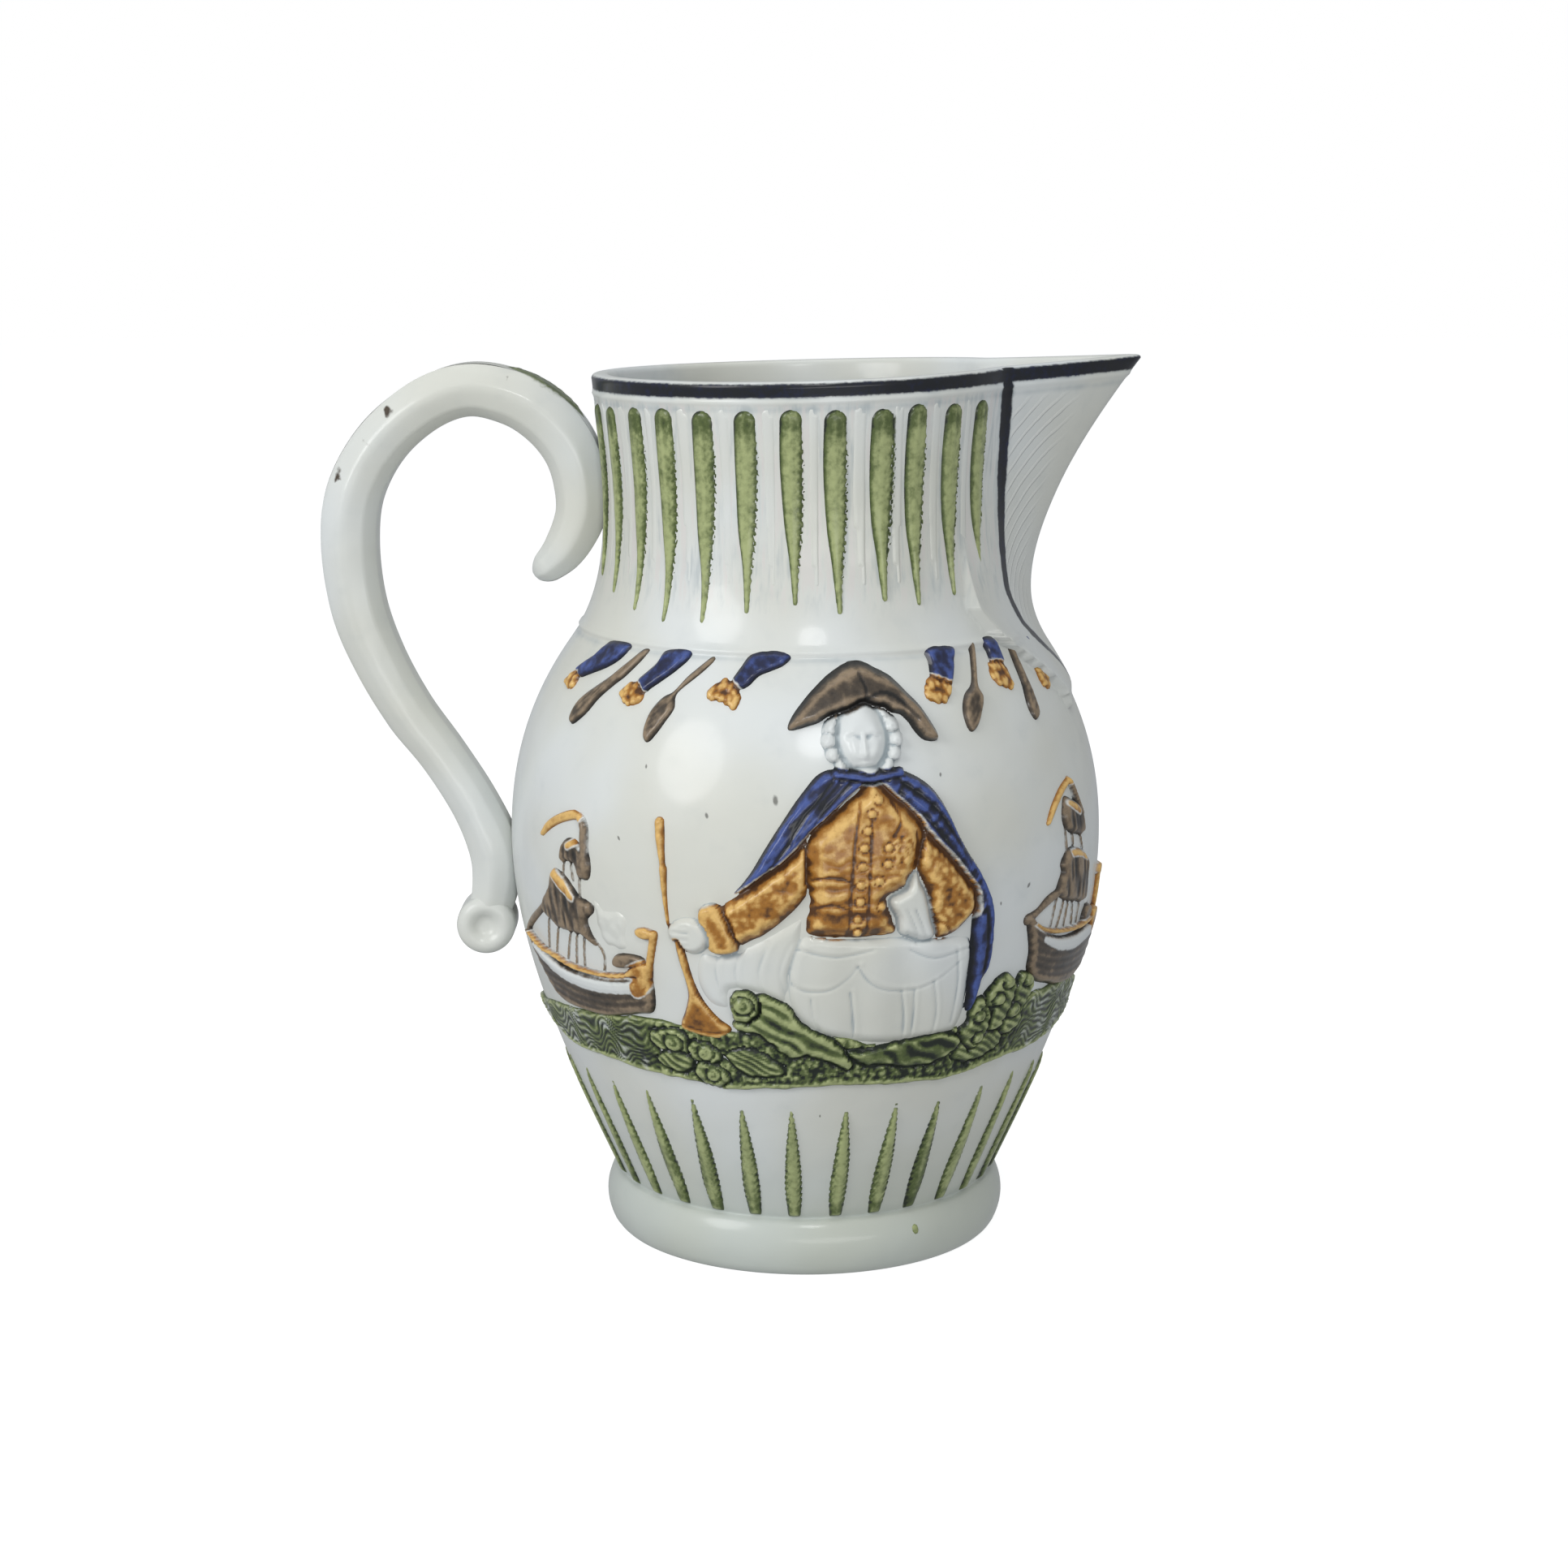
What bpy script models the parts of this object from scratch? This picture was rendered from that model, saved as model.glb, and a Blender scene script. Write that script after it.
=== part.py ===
"""Relief-moulded earthenware jug with a beak spout, a scroll handle and a moulded naval frieze.

Units are metres. +Z is up, the origin is the centre of the flat base, the spout
points along +X, the handle is on -X and the front of the frieze faces -Y.
"""

import math

import bmesh
import bpy
from mathutils import Vector

# Turned body: radii of the outer wall and the heights they stand at
FOOT_RADIUS = 0.0357
FOOT_CROWN = 0.0015          # how far the foot band's edges curve in
FOOT_HEIGHT = 0.0098
WAIST_RADIUS = 0.0332
BELLY_RADIUS = 0.0520
BELLY_HEIGHT = 0.0710
SHOULDER_RADIUS = 0.0414
SHOULDER_HEIGHT = 0.1050
NECK_RADIUS = 0.0352
NECK_HEIGHT = 0.1300
RIM_RADIUS = 0.0370
RIM_HEIGHT = 0.1514
WALL = 0.0033
FLOOR = 0.0060
FLOOR_FILLET = 0.0100
LIP_ROUND = 0.0010
WAIST_SLOPE = 0.45           # growth of the radius with height at each station
SHOULDER_SLOPE = -0.71
RIM_SLOPE = 0.09

# Beak spout, pulled out of the neck as two flat cheeks that meet in a ridge
SPOUT_REACH = 0.0234         # ridge beyond the neck at the rim
SPOUT_ROOT_HEIGHT = 0.0955
SPOUT_CURVE = 1.9
SPOUT_HALF_ANGLE = 26.6
SPOUT_GATHER = 0.0200        # height over which the cheeks narrow to a point
RIM_RISE = 0.0034            # tip of the spout above the rim at the handle

# Scroll handle, a strap with bevelled sides
HANDLE_THICK = 0.0096
HANDLE_WIDTH = 0.0132
HANDLE_REACH = 0.0442        # centre line beyond the neck where the handle stands out furthest
HANDLE_CROWN_DROP = 0.0028   # from the rim down to the highest point of the centre line
HANDLE_TAIL_HEIGHT = 0.0542
HANDLE_BITE = 0.0010         # how far each joint sinks into the wall
HANDLE_STEPS = 26
SCROLL_RADIUS = 0.0052
SCROLL_SIDES = 12
THUMB_LEAF_LENGTH = 0.0145
THUMB_LEAF_SETBACK = 0.0030  # from the handle's highest point, on the neck's side
THUMB_LEAF_WIDTH = 0.0080
THUMB_LEAF_LIFT = 0.0011

# Moulded leaves round the neck and above the foot
NECK_LEAVES = 12             # on each side, between handle and spout
NECK_LEAF_FIRST = 14.1       # degrees from the handle
NECK_LEAF_PITCH = 11.7
NECK_LEAF_DROP = 0.0044      # from the rim down to the leaves' broad ends
NECK_LEAF_LENGTH = 0.0320
NECK_LEAF_WIDTH = 0.0042
FOOT_LEAVES = 31
FOOT_LEAF_LENGTH = 0.0235
FOOT_LEAF_WIDTH = 0.0042
FOOT_LEAF_GAP = 0.0004       # between the foot band and the leaves' lower ends
LEAF_LIFT = 0.0010

# Frieze: a figure between two ships on a bank of waves and leaves, under a row of tassels
FRIEZE_RADIUS = 0.0500       # radius at which the widths below are true
FIGURE_HEIGHT = 0.0624
FIGURE_ANGLE = 10.5          # degrees from the front
FIGURE_LIFT = 0.0021
BANK_FOOT = 0.0372
BANK_DEPTH = 0.0080
BANK_HALF_ANGLE = 87.0
BANK_LIFT = 0.0010
SHIP_HEIGHT = 0.0335
SHIP_ANGLES = (-52.7, 62.5)
SHIP_LIFT = 0.0014
TASSEL_TOP = 0.1082
TASSEL_LENGTH = 0.0075
TASSEL_WIDTH = 0.0036
TASSEL_SLANTS = (11.0, 3.0)  # degrees that a tassel drifts left of and right of the figure
TASSEL_ANGLES = (-50.0, -29.5, -6.3, 33.0, 50.3, 64.0)
BRUSH_ANGLES = (-41.2, -22.0, 43.2, 59.8)
BRUSH_LENGTH = 0.0122
TASSEL_LIFT = 0.0011
ROOT = 0.0014                # how far every raised form reaches into the wall

# Forms that the back of the frieze does without
FRONT_ONLY = (
    "skirt", "left_curl", "right_curl", "left_hand", "right_hand", "left_tuft", "low_leaf",
    "pennant", "bowsprit", "lantern",
)

# Crowns of the raised bands, as shares of their half width and their lift
ROUND = ((-0.78, 0.7), (0.0, 1.0), (0.78, 0.7))
FLAT = ((-0.6, 1.0), (0.6, 1.0))
RIDGE = ((0.0, 1.0),)

TURN_STEPS = 40
WHITE = (0.66, 0.69, 0.66, 1.0)


def hermite(z, low, high):
    """Radius at height z on a smooth curve between two (height, radius, slope) stations."""
    span = high[0] - low[0]
    t = (z - low[0]) / span
    return (
        low[1] * (2 * t**3 - 3 * t**2 + 1)
        + low[2] * span * (t**3 - 2 * t**2 + t)
        + high[1] * (3 * t**2 - 2 * t**3)
        + high[2] * span * (t**3 - t**2)
    )


def outer_radius(z):
    """Radius of the plain turned wall at height z."""
    if z <= FOOT_HEIGHT:
        bulge = 2 * z / FOOT_HEIGHT - 1
        return FOOT_RADIUS - FOOT_CROWN * bulge**2
    stations = (
        (FOOT_HEIGHT, WAIST_RADIUS, WAIST_SLOPE),
        (BELLY_HEIGHT, BELLY_RADIUS, 0.0),
        (SHOULDER_HEIGHT, SHOULDER_RADIUS, SHOULDER_SLOPE),
        (NECK_HEIGHT, NECK_RADIUS, 0.0),
        (RIM_HEIGHT, RIM_RADIUS, RIM_SLOPE),
    )
    for low, high in zip(stations, stations[1:]):
        if z <= high[0]:
            return hermite(z, low, high)
    return RIM_RADIUS + RIM_SLOPE * (z - RIM_HEIGHT)


def spread(low, high, count):
    """count values from low to high, both included."""
    return [low + (high - low) * i / (count - 1) for i in range(count)]


def smooth(t):
    """Eases from 0 to 1."""
    t = min(max(t, 0.0), 1.0)
    return t * t * (3 - 2 * t)


def cheek_radius(angle, z, inset):
    """Distance from the axis to a spout cheek, set in by inset, at an angle from the spout's ridge."""
    t = (z - SPOUT_ROOT_HEIGHT) / (RIM_HEIGHT - SPOUT_ROOT_HEIGHT)
    if t <= 0:
        return 0.0
    half = math.radians(SPOUT_HALF_ANGLE) * smooth((z - SPOUT_ROOT_HEIGHT) / SPOUT_GATHER)
    if abs(angle) >= half:
        return 0.0
    wall = outer_radius(z)
    tip = Vector((wall + SPOUT_REACH * t**SPOUT_CURVE, 0.0))
    root = Vector((wall * math.cos(half), wall * math.sin(half)))
    run = root - tip
    normal = Vector((run.y, -run.x)).normalized()
    facing = normal.dot(Vector((math.cos(angle), math.sin(abs(angle)))))
    return (normal.dot(tip) - inset) / facing


def rim_rise(x, z):
    """How far a point of the neck is lifted, so that the rim climbs towards the spout."""
    t = (x + RIM_RADIUS) / (2 * RIM_RADIUS + SPOUT_REACH)
    share = smooth((z - SHOULDER_HEIGHT) / (RIM_HEIGHT - SHOULDER_HEIGHT))
    return RIM_RISE * max(t, 0.0) ** 2 * share


def shaped(point):
    """Moves a point of the turned wall out into the spout and up with the rim."""
    radius = math.hypot(point.x, point.y)
    if radius < 1e-6 or point.z < SPOUT_ROOT_HEIGHT:
        return point.copy()
    inset = outer_radius(point.z) - radius
    angle = math.atan2(point.y, point.x)
    reach = max(radius, cheek_radius(angle, point.z, inset))
    x = reach * math.cos(angle)
    return Vector((x, reach * math.sin(angle), point.z + rim_rise(x, point.z)))


def on_wall(across, height, lift, angle):
    """Point lifted off the wall: across is measured along the frieze, angle is degrees from the front."""
    turn = math.radians(angle) + across / FRIEZE_RADIUS
    radius = outer_radius(height) + lift
    flat = Vector((radius * math.sin(turn), -radius * math.cos(turn), height))
    return flat + Vector((0.0, 0.0, rim_rise(flat.x, height)))


def curve_through(points, count):
    """count points on a smooth curve through the given ones."""
    made = []
    last = len(points) - 1
    for i in range(count):
        place = last * i / (count - 1)
        k = min(int(place), last - 1)
        t = place - k
        before = points[max(k - 1, 0)]
        after = points[min(k + 2, last)]
        blend = []
        for a, b, c, d in zip(before, points[k], points[k + 1], after):
            ease = (2 * a - 5 * b + 4 * c - d) * t**2 + (3 * b - a - 3 * c + d) * t**3
            blend.append(0.5 * (2 * b + (c - a) * t + ease))
        made.append(blend)
    return made


def clay():
    """Glazed white earthenware."""
    material = bpy.data.materials.new("pearl_glaze")
    material.use_nodes = True
    shader = material.node_tree.nodes["Principled BSDF"]
    shader.inputs["Base Color"].default_value = WHITE
    shader.inputs["Roughness"].default_value = 0.18
    shader.inputs["Metallic"].default_value = 0.0
    return material


def evaluated(item):
    """The object with its modifiers applied."""
    bpy.context.view_layer.update()
    return item.evaluated_get(bpy.context.evaluated_depsgraph_get())


def add_object(name, data, collection):
    """Links a new object for a mesh or a curve into a collection."""
    made = bpy.data.objects.new(name, data)
    collection.objects.link(made)
    return made


def add_joined_form(name, form, collection):
    """Turns a bmesh into a hidden object that is only there to be joined to the jug."""
    bmesh.ops.recalc_face_normals(form, faces=form.faces)
    mesh = bpy.data.meshes.new(name)
    form.to_mesh(mesh)
    form.free()
    made = add_object(name, mesh, collection)
    made.hide_render = True
    made.display_type = "WIRE"
    return made


def body_profile():
    """Half section of the jug as (radius, height): up the inside, over the lip and down the outside."""
    inner_rows = spread(FLOOR + FLOOR_FILLET, RIM_HEIGHT - LIP_ROUND, 7)
    points = [(0.0, FLOOR)]
    floor_edge = outer_radius(inner_rows[0]) - WALL - FLOOR_FILLET
    for step in range(3):
        turn = math.radians(30 * step)
        rise = FLOOR_FILLET * (1 - math.cos(turn))
        points.append((floor_edge + FLOOR_FILLET * math.sin(turn), FLOOR + rise))
    points += [(outer_radius(z) - WALL, z) for z in inner_rows]
    points.append((RIM_RADIUS - WALL + LIP_ROUND, RIM_HEIGHT))
    points.append((RIM_RADIUS - LIP_ROUND, RIM_HEIGHT))
    outer_rows = spread(RIM_HEIGHT - LIP_ROUND, FOOT_HEIGHT + LIP_ROUND / 4, 16)
    points += [(outer_radius(z), z) for z in outer_rows]
    points += [(outer_radius(z), z) for z in spread(FOOT_HEIGHT, 0.0, 4)]
    points.append((0.0, 0.0))
    return points


def make_body(collection):
    """The turned wall, with the spout's cheeks pressed out and the rim lifted towards the tip."""
    section_mesh = bpy.data.meshes.new("jug_section")
    points = body_profile()
    edges = [(i, i + 1) for i in range(len(points) - 1)]
    section_mesh.from_pydata([(r, 0.0, z) for r, z in points], edges, [])
    section = add_object("jug_section", section_mesh, collection)
    screw = section.modifiers.new("turn", "SCREW")
    screw.steps = TURN_STEPS
    screw.render_steps = TURN_STEPS
    screw.use_merge_vertices = True
    screw.merge_threshold = 0.00001
    mesh = bpy.data.meshes.new_from_object(evaluated(section))
    bpy.data.objects.remove(section)
    form = bmesh.new()
    form.from_mesh(mesh)
    bmesh.ops.remove_doubles(form, verts=form.verts, dist=0.00001)
    bmesh.ops.recalc_face_normals(form, faces=form.faces)
    for vert in form.verts:
        vert.co = shaped(vert.co)
    form.to_mesh(mesh)
    form.free()
    return add_object("jug", mesh, collection)


def loft(rings):
    """Closed bmesh through rings of points, with a flat cap at each end."""
    form = bmesh.new()
    rows = [[form.verts.new(point) for point in ring] for ring in rings]
    for low, high in zip(rows, rows[1:]):
        for i in range(len(low)):
            k = (i + 1) % len(low)
            form.faces.new((low[i], low[k], high[k], high[i]))
    form.faces.new(rows[0])
    form.faces.new(rows[-1])
    return form


def band(name, spine, lift, angle, collection, count, crown=ROUND):
    """A raised band along a spine of (across, height, half width) points, with a chosen crown."""
    edge, rise = crown[-1]
    buried = 1.0 + (1.0 - edge) * ROOT / (rise * lift)
    section = [(-buried, -ROOT)] + [(side, rise * lift) for side, rise in crown] + [(buried, -ROOT)]
    line = curve_through(spine, count)
    rings = []
    for i, (across, height, half) in enumerate(line):
        before = line[max(i - 1, 0)]
        after = line[min(i + 1, count - 1)]
        run = Vector((after[0] - before[0], after[1] - before[1])).normalized()
        rings.append([
            on_wall(across + run.y * half * side, height - run.x * half * side, rise, angle)
            for side, rise in section
        ])
    return add_joined_form(name, loft(rings), collection)


def lump(name, across, height, half_across, half_high, lift, angle, collection, sides=6):
    """A rounded boss: an ellipsoid set into the wall."""
    form = bmesh.new()
    bmesh.ops.create_uvsphere(form, u_segments=sides, v_segments=sides // 2 + 1, radius=1.0)
    for vert in form.verts:
        rise = vert.co.y * (lift if vert.co.y > 0 else ROOT)
        vert.co = on_wall(across + vert.co.x * half_across, height + vert.co.z * half_high, rise, angle)
    return add_joined_form(name, form, collection)


def make_leaves(collection):
    """The leaf borders: points down on the neck, points up above the foot."""
    stretch = FRIEZE_RADIUS / NECK_RADIUS
    half = NECK_LEAF_WIDTH / 2 * stretch
    top = RIM_HEIGHT - NECK_LEAF_DROP
    tip = top - NECK_LEAF_LENGTH
    middle = top - 0.45 * NECK_LEAF_LENGTH
    neck_spine = ((0.0, tip, half * 0.2), (0.0, middle, half * 0.8), (0.0, top, half * 0.75))
    for side in (-1, 1):
        for k in range(NECK_LEAVES):
            angle = -90 + side * (NECK_LEAF_FIRST + NECK_LEAF_PITCH * k)
            band("neck_leaf", neck_spine, LEAF_LIFT, angle, collection, 3, RIDGE)
    half = FOOT_LEAF_WIDTH / 2 * FRIEZE_RADIUS / WAIST_RADIUS
    low = FOOT_HEIGHT + FOOT_LEAF_GAP
    foot_spine = (
        (0.0, low, half * 0.75),
        (0.0, low + 0.4 * FOOT_LEAF_LENGTH, half * 0.8),
        (0.0, low + FOOT_LEAF_LENGTH, half * 0.15),
    )
    for k in range(FOOT_LEAVES):
        band("foot_leaf", foot_spine, LEAF_LIFT, 360 * k / FOOT_LEAVES - 3.2, collection, 3, RIDGE)


def in_shares(points, unit, foot):
    """Turns hundredths of a form's height into (across, height, half width) in metres."""
    scale = unit / 100
    return [(a * scale, foot + h * scale, w * scale) for a, h, w in points]


def make_figure(angle, collection, plain):
    """An officer in a cocked hat, short coat and cloak, one hand on the hip and one on a staff."""
    foot = BANK_FOOT + BANK_DEPTH
    forms = (
        ("skirt", FLAT, 0.35, ((-15, 28, 4), (-26, 22, 6), (-34, 12, 4))),
        ("left_leg", ROUND, 0.75, ((-7, 33, 8), (-6.5, 15, 9.5), (-4, -3, 8))),
        ("right_leg", ROUND, 0.7, ((9, 33, 8), (14, 15, 11), (15, -3, 10))),
        ("coat", ROUND, 1.0, ((-4, 29.5, 11.5), (-1, 40, 14), (0.5, 55, 13.5), (1.5, 71.5, 4))),
        ("cloak_left", ROUND, 0.9, ((3, 72, 1.6), (-9, 69.5, 3), (-18, 60, 3.8), (-33, 42, 0.8))),
        ("cloak_right", ROUND, 0.85, ((2, 72, 1.6), (14, 68.5, 3.2), (26, 56, 4), (33.5, 34, 3), (31.5, 7, 1.2))),
        ("left_sleeve", ROUND, 0.95, ((-10, 57, 3.4), (-14, 46, 4.4), (-26, 36.5, 4.6), (-41, 31.5, 5.4))),
        ("right_sleeve", ROUND, 0.92, ((13, 57, 3.4), (20, 47, 4.4), (25, 38, 4.6), (16, 31.5, 3.8))),
        ("staff", RIDGE, 0.4, ((-53.5, 60, 1.9), (-51, 46, 1.5), (-49, 22, 1.3), (-43, 3, 3))),
        ("hat", ROUND, 1.05, ((-21, 81.5, 1.6), (-12, 88, 4.4), (0, 94, 5.8), (13, 89, 4.6), (23, 80.5, 1.6))),
    )
    for name, crown, share, shape in forms:
        if plain and name in FRONT_ONLY:
            continue
        spine = in_shares(shape, FIGURE_HEIGHT, foot)
        band(name, spine, FIGURE_LIFT * share, angle, collection, len(shape) + 2, crown)
    unit = FIGURE_HEIGHT / 100
    rounds = (
        ("head", 8, 0.0, 82.0, 7.0, 8.6, 1.15),
        ("left_curl", 6, -8.0, 80.0, 3.0, 5.0, 0.8),
        ("right_curl", 6, 8.4, 80.0, 3.0, 5.4, 0.75),
        ("left_hand", 6, -46.5, 31.0, 4.2, 3.6, 0.85),
        ("right_hand", 6, 12.6, 34.0, 4.4, 6.4, 0.99),
    )
    for name, sides, across, height, wide, high, share in rounds:
        if plain and name in FRONT_ONLY:
            continue
        lift = FIGURE_LIFT * share
        height = foot + height * unit
        lump(name, across * unit, height, wide * unit, high * unit, lift, angle, collection, sides)


def make_ship(angle, collection, plain):
    """A warship under sail, heading left."""
    foot = BANK_FOOT + BANK_DEPTH + 0.05 * SHIP_HEIGHT
    forms = (
        ("hull", FLAT, 1.0, ((-56, 27, 2), (-32, 18, 6), (-4, 10, 7), (26, 6, 7), (57, 9, 5.5))),
        ("lower_sail", ROUND, 0.85, ((-11, 50, 4), (2, 47, 9), (15, 45, 10), (25, 48, 6))),
        ("upper_sail", ROUND, 0.8, ((2, 70, 4), (10, 68, 8), (19, 68, 7))),
        ("mast", RIDGE, 1.05, ((14, 100, 1.2), (21, 70, 1.6), (27, 22, 1.8))),
        ("pennant", RIDGE, 0.5, ((13, 98, 2.6), (0, 96, 2.4), (-14, 87, 0.8))),
        ("bowsprit", RIDGE, 0.6, ((-44, 24, 1.4), (-30, 40, 1.6), (-17, 52, 1.2))),
        ("lantern", RIDGE, 0.7, ((55, 18, 1.4), (57, 33, 1.6), (51, 44, 3.4))),
    )
    for name, crown, share, shape in forms:
        if plain and name in FRONT_ONLY:
            continue
        spine = in_shares(shape, SHIP_HEIGHT, foot)
        band(name, spine, SHIP_LIFT * share, angle, collection, len(shape), crown)


def make_bank(angle, collection, plain):
    """Waves at both ends of a low bank, with leaves in front of the figure's feet."""
    half = math.radians(BANK_HALF_ANGLE) * FRIEZE_RADIUS
    middle = BANK_FOOT + BANK_DEPTH / 2
    spine = []
    for across in spread(-half, half, 15):
        swell = 0.08 * math.cos(across / (0.09 * half))
        end = smooth((half - abs(across)) / BANK_DEPTH)
        spine.append((across, middle + swell * BANK_DEPTH, BANK_DEPTH * (0.15 + 0.38 * end)))
    band("bank", spine, BANK_LIFT, angle, collection, len(spine), FLAT)
    figure = math.radians(FIGURE_ANGLE) * FRIEZE_RADIUS
    crown = BANK_FOOT + BANK_DEPTH
    leaves = (
        ("left_tuft", ((-61, 8, 4), (-46, 34, 14), (-32, 40, 10), (-20, 30, 6))),
        ("scroll_leaf", ((-35, 108, 6), (-24, 84, 22), (-6, 34, 26), (10, 10, 8))),
        ("low_leaf", ((-3, 6, 8), (12, 10, 20), (28, 12, 10))),
        ("right_tuft", ((31, 10, 8), (36, 70, 28), (46, 92, 34), (60, 70, 24), (68, 40, 8))),
    )
    for name, shape in leaves:
        if plain and name in FRONT_ONLY:
            continue
        spine = [
            (figure + a / 100 * FIGURE_HEIGHT, crown + h / 100 * BANK_DEPTH, w / 100 * BANK_DEPTH)
            for a, h, w in shape
        ]
        band(name, spine, 1.6 * BANK_LIFT, angle, collection, len(shape), FLAT)


def make_tassels(angle, collection, plain):
    """Bound tassels and brushes hanging in turn from the shoulder line, and on the back tassels alone."""
    half = TASSEL_WIDTH / 2
    for place in TASSEL_ANGLES + (() if plain else BRUSH_ANGLES):
        slant = TASSEL_SLANTS[0 if place < FIGURE_ANGLE else 1]
        drift = math.radians(slant) * FRIEZE_RADIUS
        if place in TASSEL_ANGLES:
            low = TASSEL_TOP - TASSEL_LENGTH
            spine = (
                (0.0, TASSEL_TOP, half * 0.9),
                (-0.6 * drift, (TASSEL_TOP + low) / 2, half),
                (-drift, low, half * 1.1),
            )
            band("tassel", spine, TASSEL_LIFT, angle + place, collection, 3, FLAT)
        else:
            low = TASSEL_TOP - BRUSH_LENGTH
            spine = (
                (0.0, TASSEL_TOP, half * 0.3),
                (-0.5 * drift, 0.55 * TASSEL_TOP + 0.45 * low, half * 0.4),
                (-0.8 * drift, 0.25 * TASSEL_TOP + 0.75 * low, half),
                (-drift, low, half * 0.3),
            )
            band("brush", spine, TASSEL_LIFT * 0.9, angle + place, collection, 4, RIDGE)


def handle_line():
    """Centre line of the handle as (distance out from the axis, height, half thickness)."""
    half = HANDLE_THICK / 2
    span = RIM_HEIGHT - HANDLE_CROWN_DROP - HANDLE_TAIL_HEIGHT
    beside = half - HANDLE_BITE
    reach = HANDLE_REACH
    # Each point is (distance beyond the wall, share of the height from tail to crown, share of thickness)
    upper = (
        (beside + 0.125 * reach, 0.668, 0.56),
        (beside + 0.050 * reach, 0.716, 0.84),
        (beside, 0.770, 0.92),
        (beside, 0.835, 0.96),
        (beside + 0.030 * reach, 0.895, 1.0),
        (0.085 * reach + half, 0.948, 1.02),
        (0.205 * reach + half, 0.985, 1.0),
        (0.375 * reach + half, 1.0, 0.96),
    )
    points = []
    for out, share, thick in upper:
        z = HANDLE_TAIL_HEIGHT + share * span
        points.append((outer_radius(min(z, RIM_HEIGHT)) + out, z, half * thick))
    neck = NECK_RADIUS
    loop = (
        (0.69, 0.972, 0.96),
        (0.86, 0.906, 0.97),
        (0.972, 0.815, 1.0),
        (1.0, 0.715, 1.0),
        (0.973, 0.602, 0.97),
        (0.895, 0.500, 0.92),
        (0.785, 0.405, 0.88),
        (0.650, 0.318, 0.83),
        (0.528, 0.225, 0.84),
    )
    for out, share, thick in loop:
        points.append((neck + out * reach, HANDLE_TAIL_HEIGHT + share * span, half * thick))
    tail = HANDLE_TAIL_HEIGHT
    joint = outer_radius(tail + 0.13 * span) + half * 0.9 - HANDLE_BITE
    points.append((joint, tail + 0.135 * span, half * 0.9))
    points.append((joint + 0.004 * reach, tail + 0.060 * span, half * 0.84))
    points.append((joint + 0.036 * reach, tail + 0.015 * span, half * 0.76))
    return points


def handle_section(collection):
    """Cross-section of the strap: a narrow outer face, a ridge along each side and a rounded inner face."""
    half = HANDLE_WIDTH / 2
    deep = HANDLE_THICK / 2
    right = ((1.0, 0.52), (0.2, 1.0), (-0.6, 0.82), (-1.0, 0.4))
    outline = [(w * half, n * deep) for n, w in right]
    outline += [(-w * half, n * deep) for n, w in right[::-1]]
    curve = bpy.data.curves.new("handle_section", "CURVE")
    curve.dimensions = "2D"
    spline = curve.splines.new("POLY")
    spline.points.add(len(outline) - 1)
    for point, (x, y) in zip(spline.points, outline):
        point.co = (x, y, 0.0, 1.0)
    spline.use_cyclic_u = True
    return add_object("handle_section", curve, collection)


def make_handle(collection):
    """The strap, swept along its line, with the scroll it ends in and a leaf for the thumb."""
    section = handle_section(collection)
    curve = bpy.data.curves.new("handle_line", "CURVE")
    curve.dimensions = "3D"
    curve.twist_mode = "MINIMUM"
    curve.bevel_mode = "OBJECT"
    curve.bevel_object = section
    curve.use_fill_caps = True
    spline = curve.splines.new("POLY")
    line = curve_through(handle_line(), HANDLE_STEPS)
    spline.points.add(len(line) - 1)
    for point, (out, z, half) in zip(spline.points, line):
        point.co = (-out, 0.0, z, 1.0)
        point.radius = half / (HANDLE_THICK / 2)
    rail = add_object("handle_line", curve, collection)
    mesh = bpy.data.meshes.new_from_object(evaluated(rail))
    bpy.data.objects.remove(rail)
    bpy.data.objects.remove(section)
    form = bmesh.new()
    form.from_mesh(mesh)
    bmesh.ops.remove_doubles(form, verts=form.verts, dist=0.00005)
    add_joined_form("handle", form, collection)
    make_scroll(line[-1], collection)
    make_thumb_leaf(collection)


def make_scroll(tail, collection):
    """A short roll with dished ends where the strap curls under at the belly."""
    shares = ((0.4, 0.80), (0.68, 0.94), (1.0, 0.74))
    half = HANDLE_WIDTH / 2 * 0.86
    rings = []
    stops = [(r, w) for r, w in shares] + [(r, -w) for r, w in shares[::-1]]
    for radius, width in stops:
        ring = []
        for step in range(SCROLL_SIDES):
            turn = math.tau * step / SCROLL_SIDES
            ring.append((
                -tail[0] + SCROLL_RADIUS * radius * math.cos(turn),
                half * width,
                HANDLE_TAIL_HEIGHT + SCROLL_RADIUS * radius * math.sin(turn),
            ))
        rings.append(ring)
    return add_joined_form("handle_scroll", loft(rings), collection)


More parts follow.
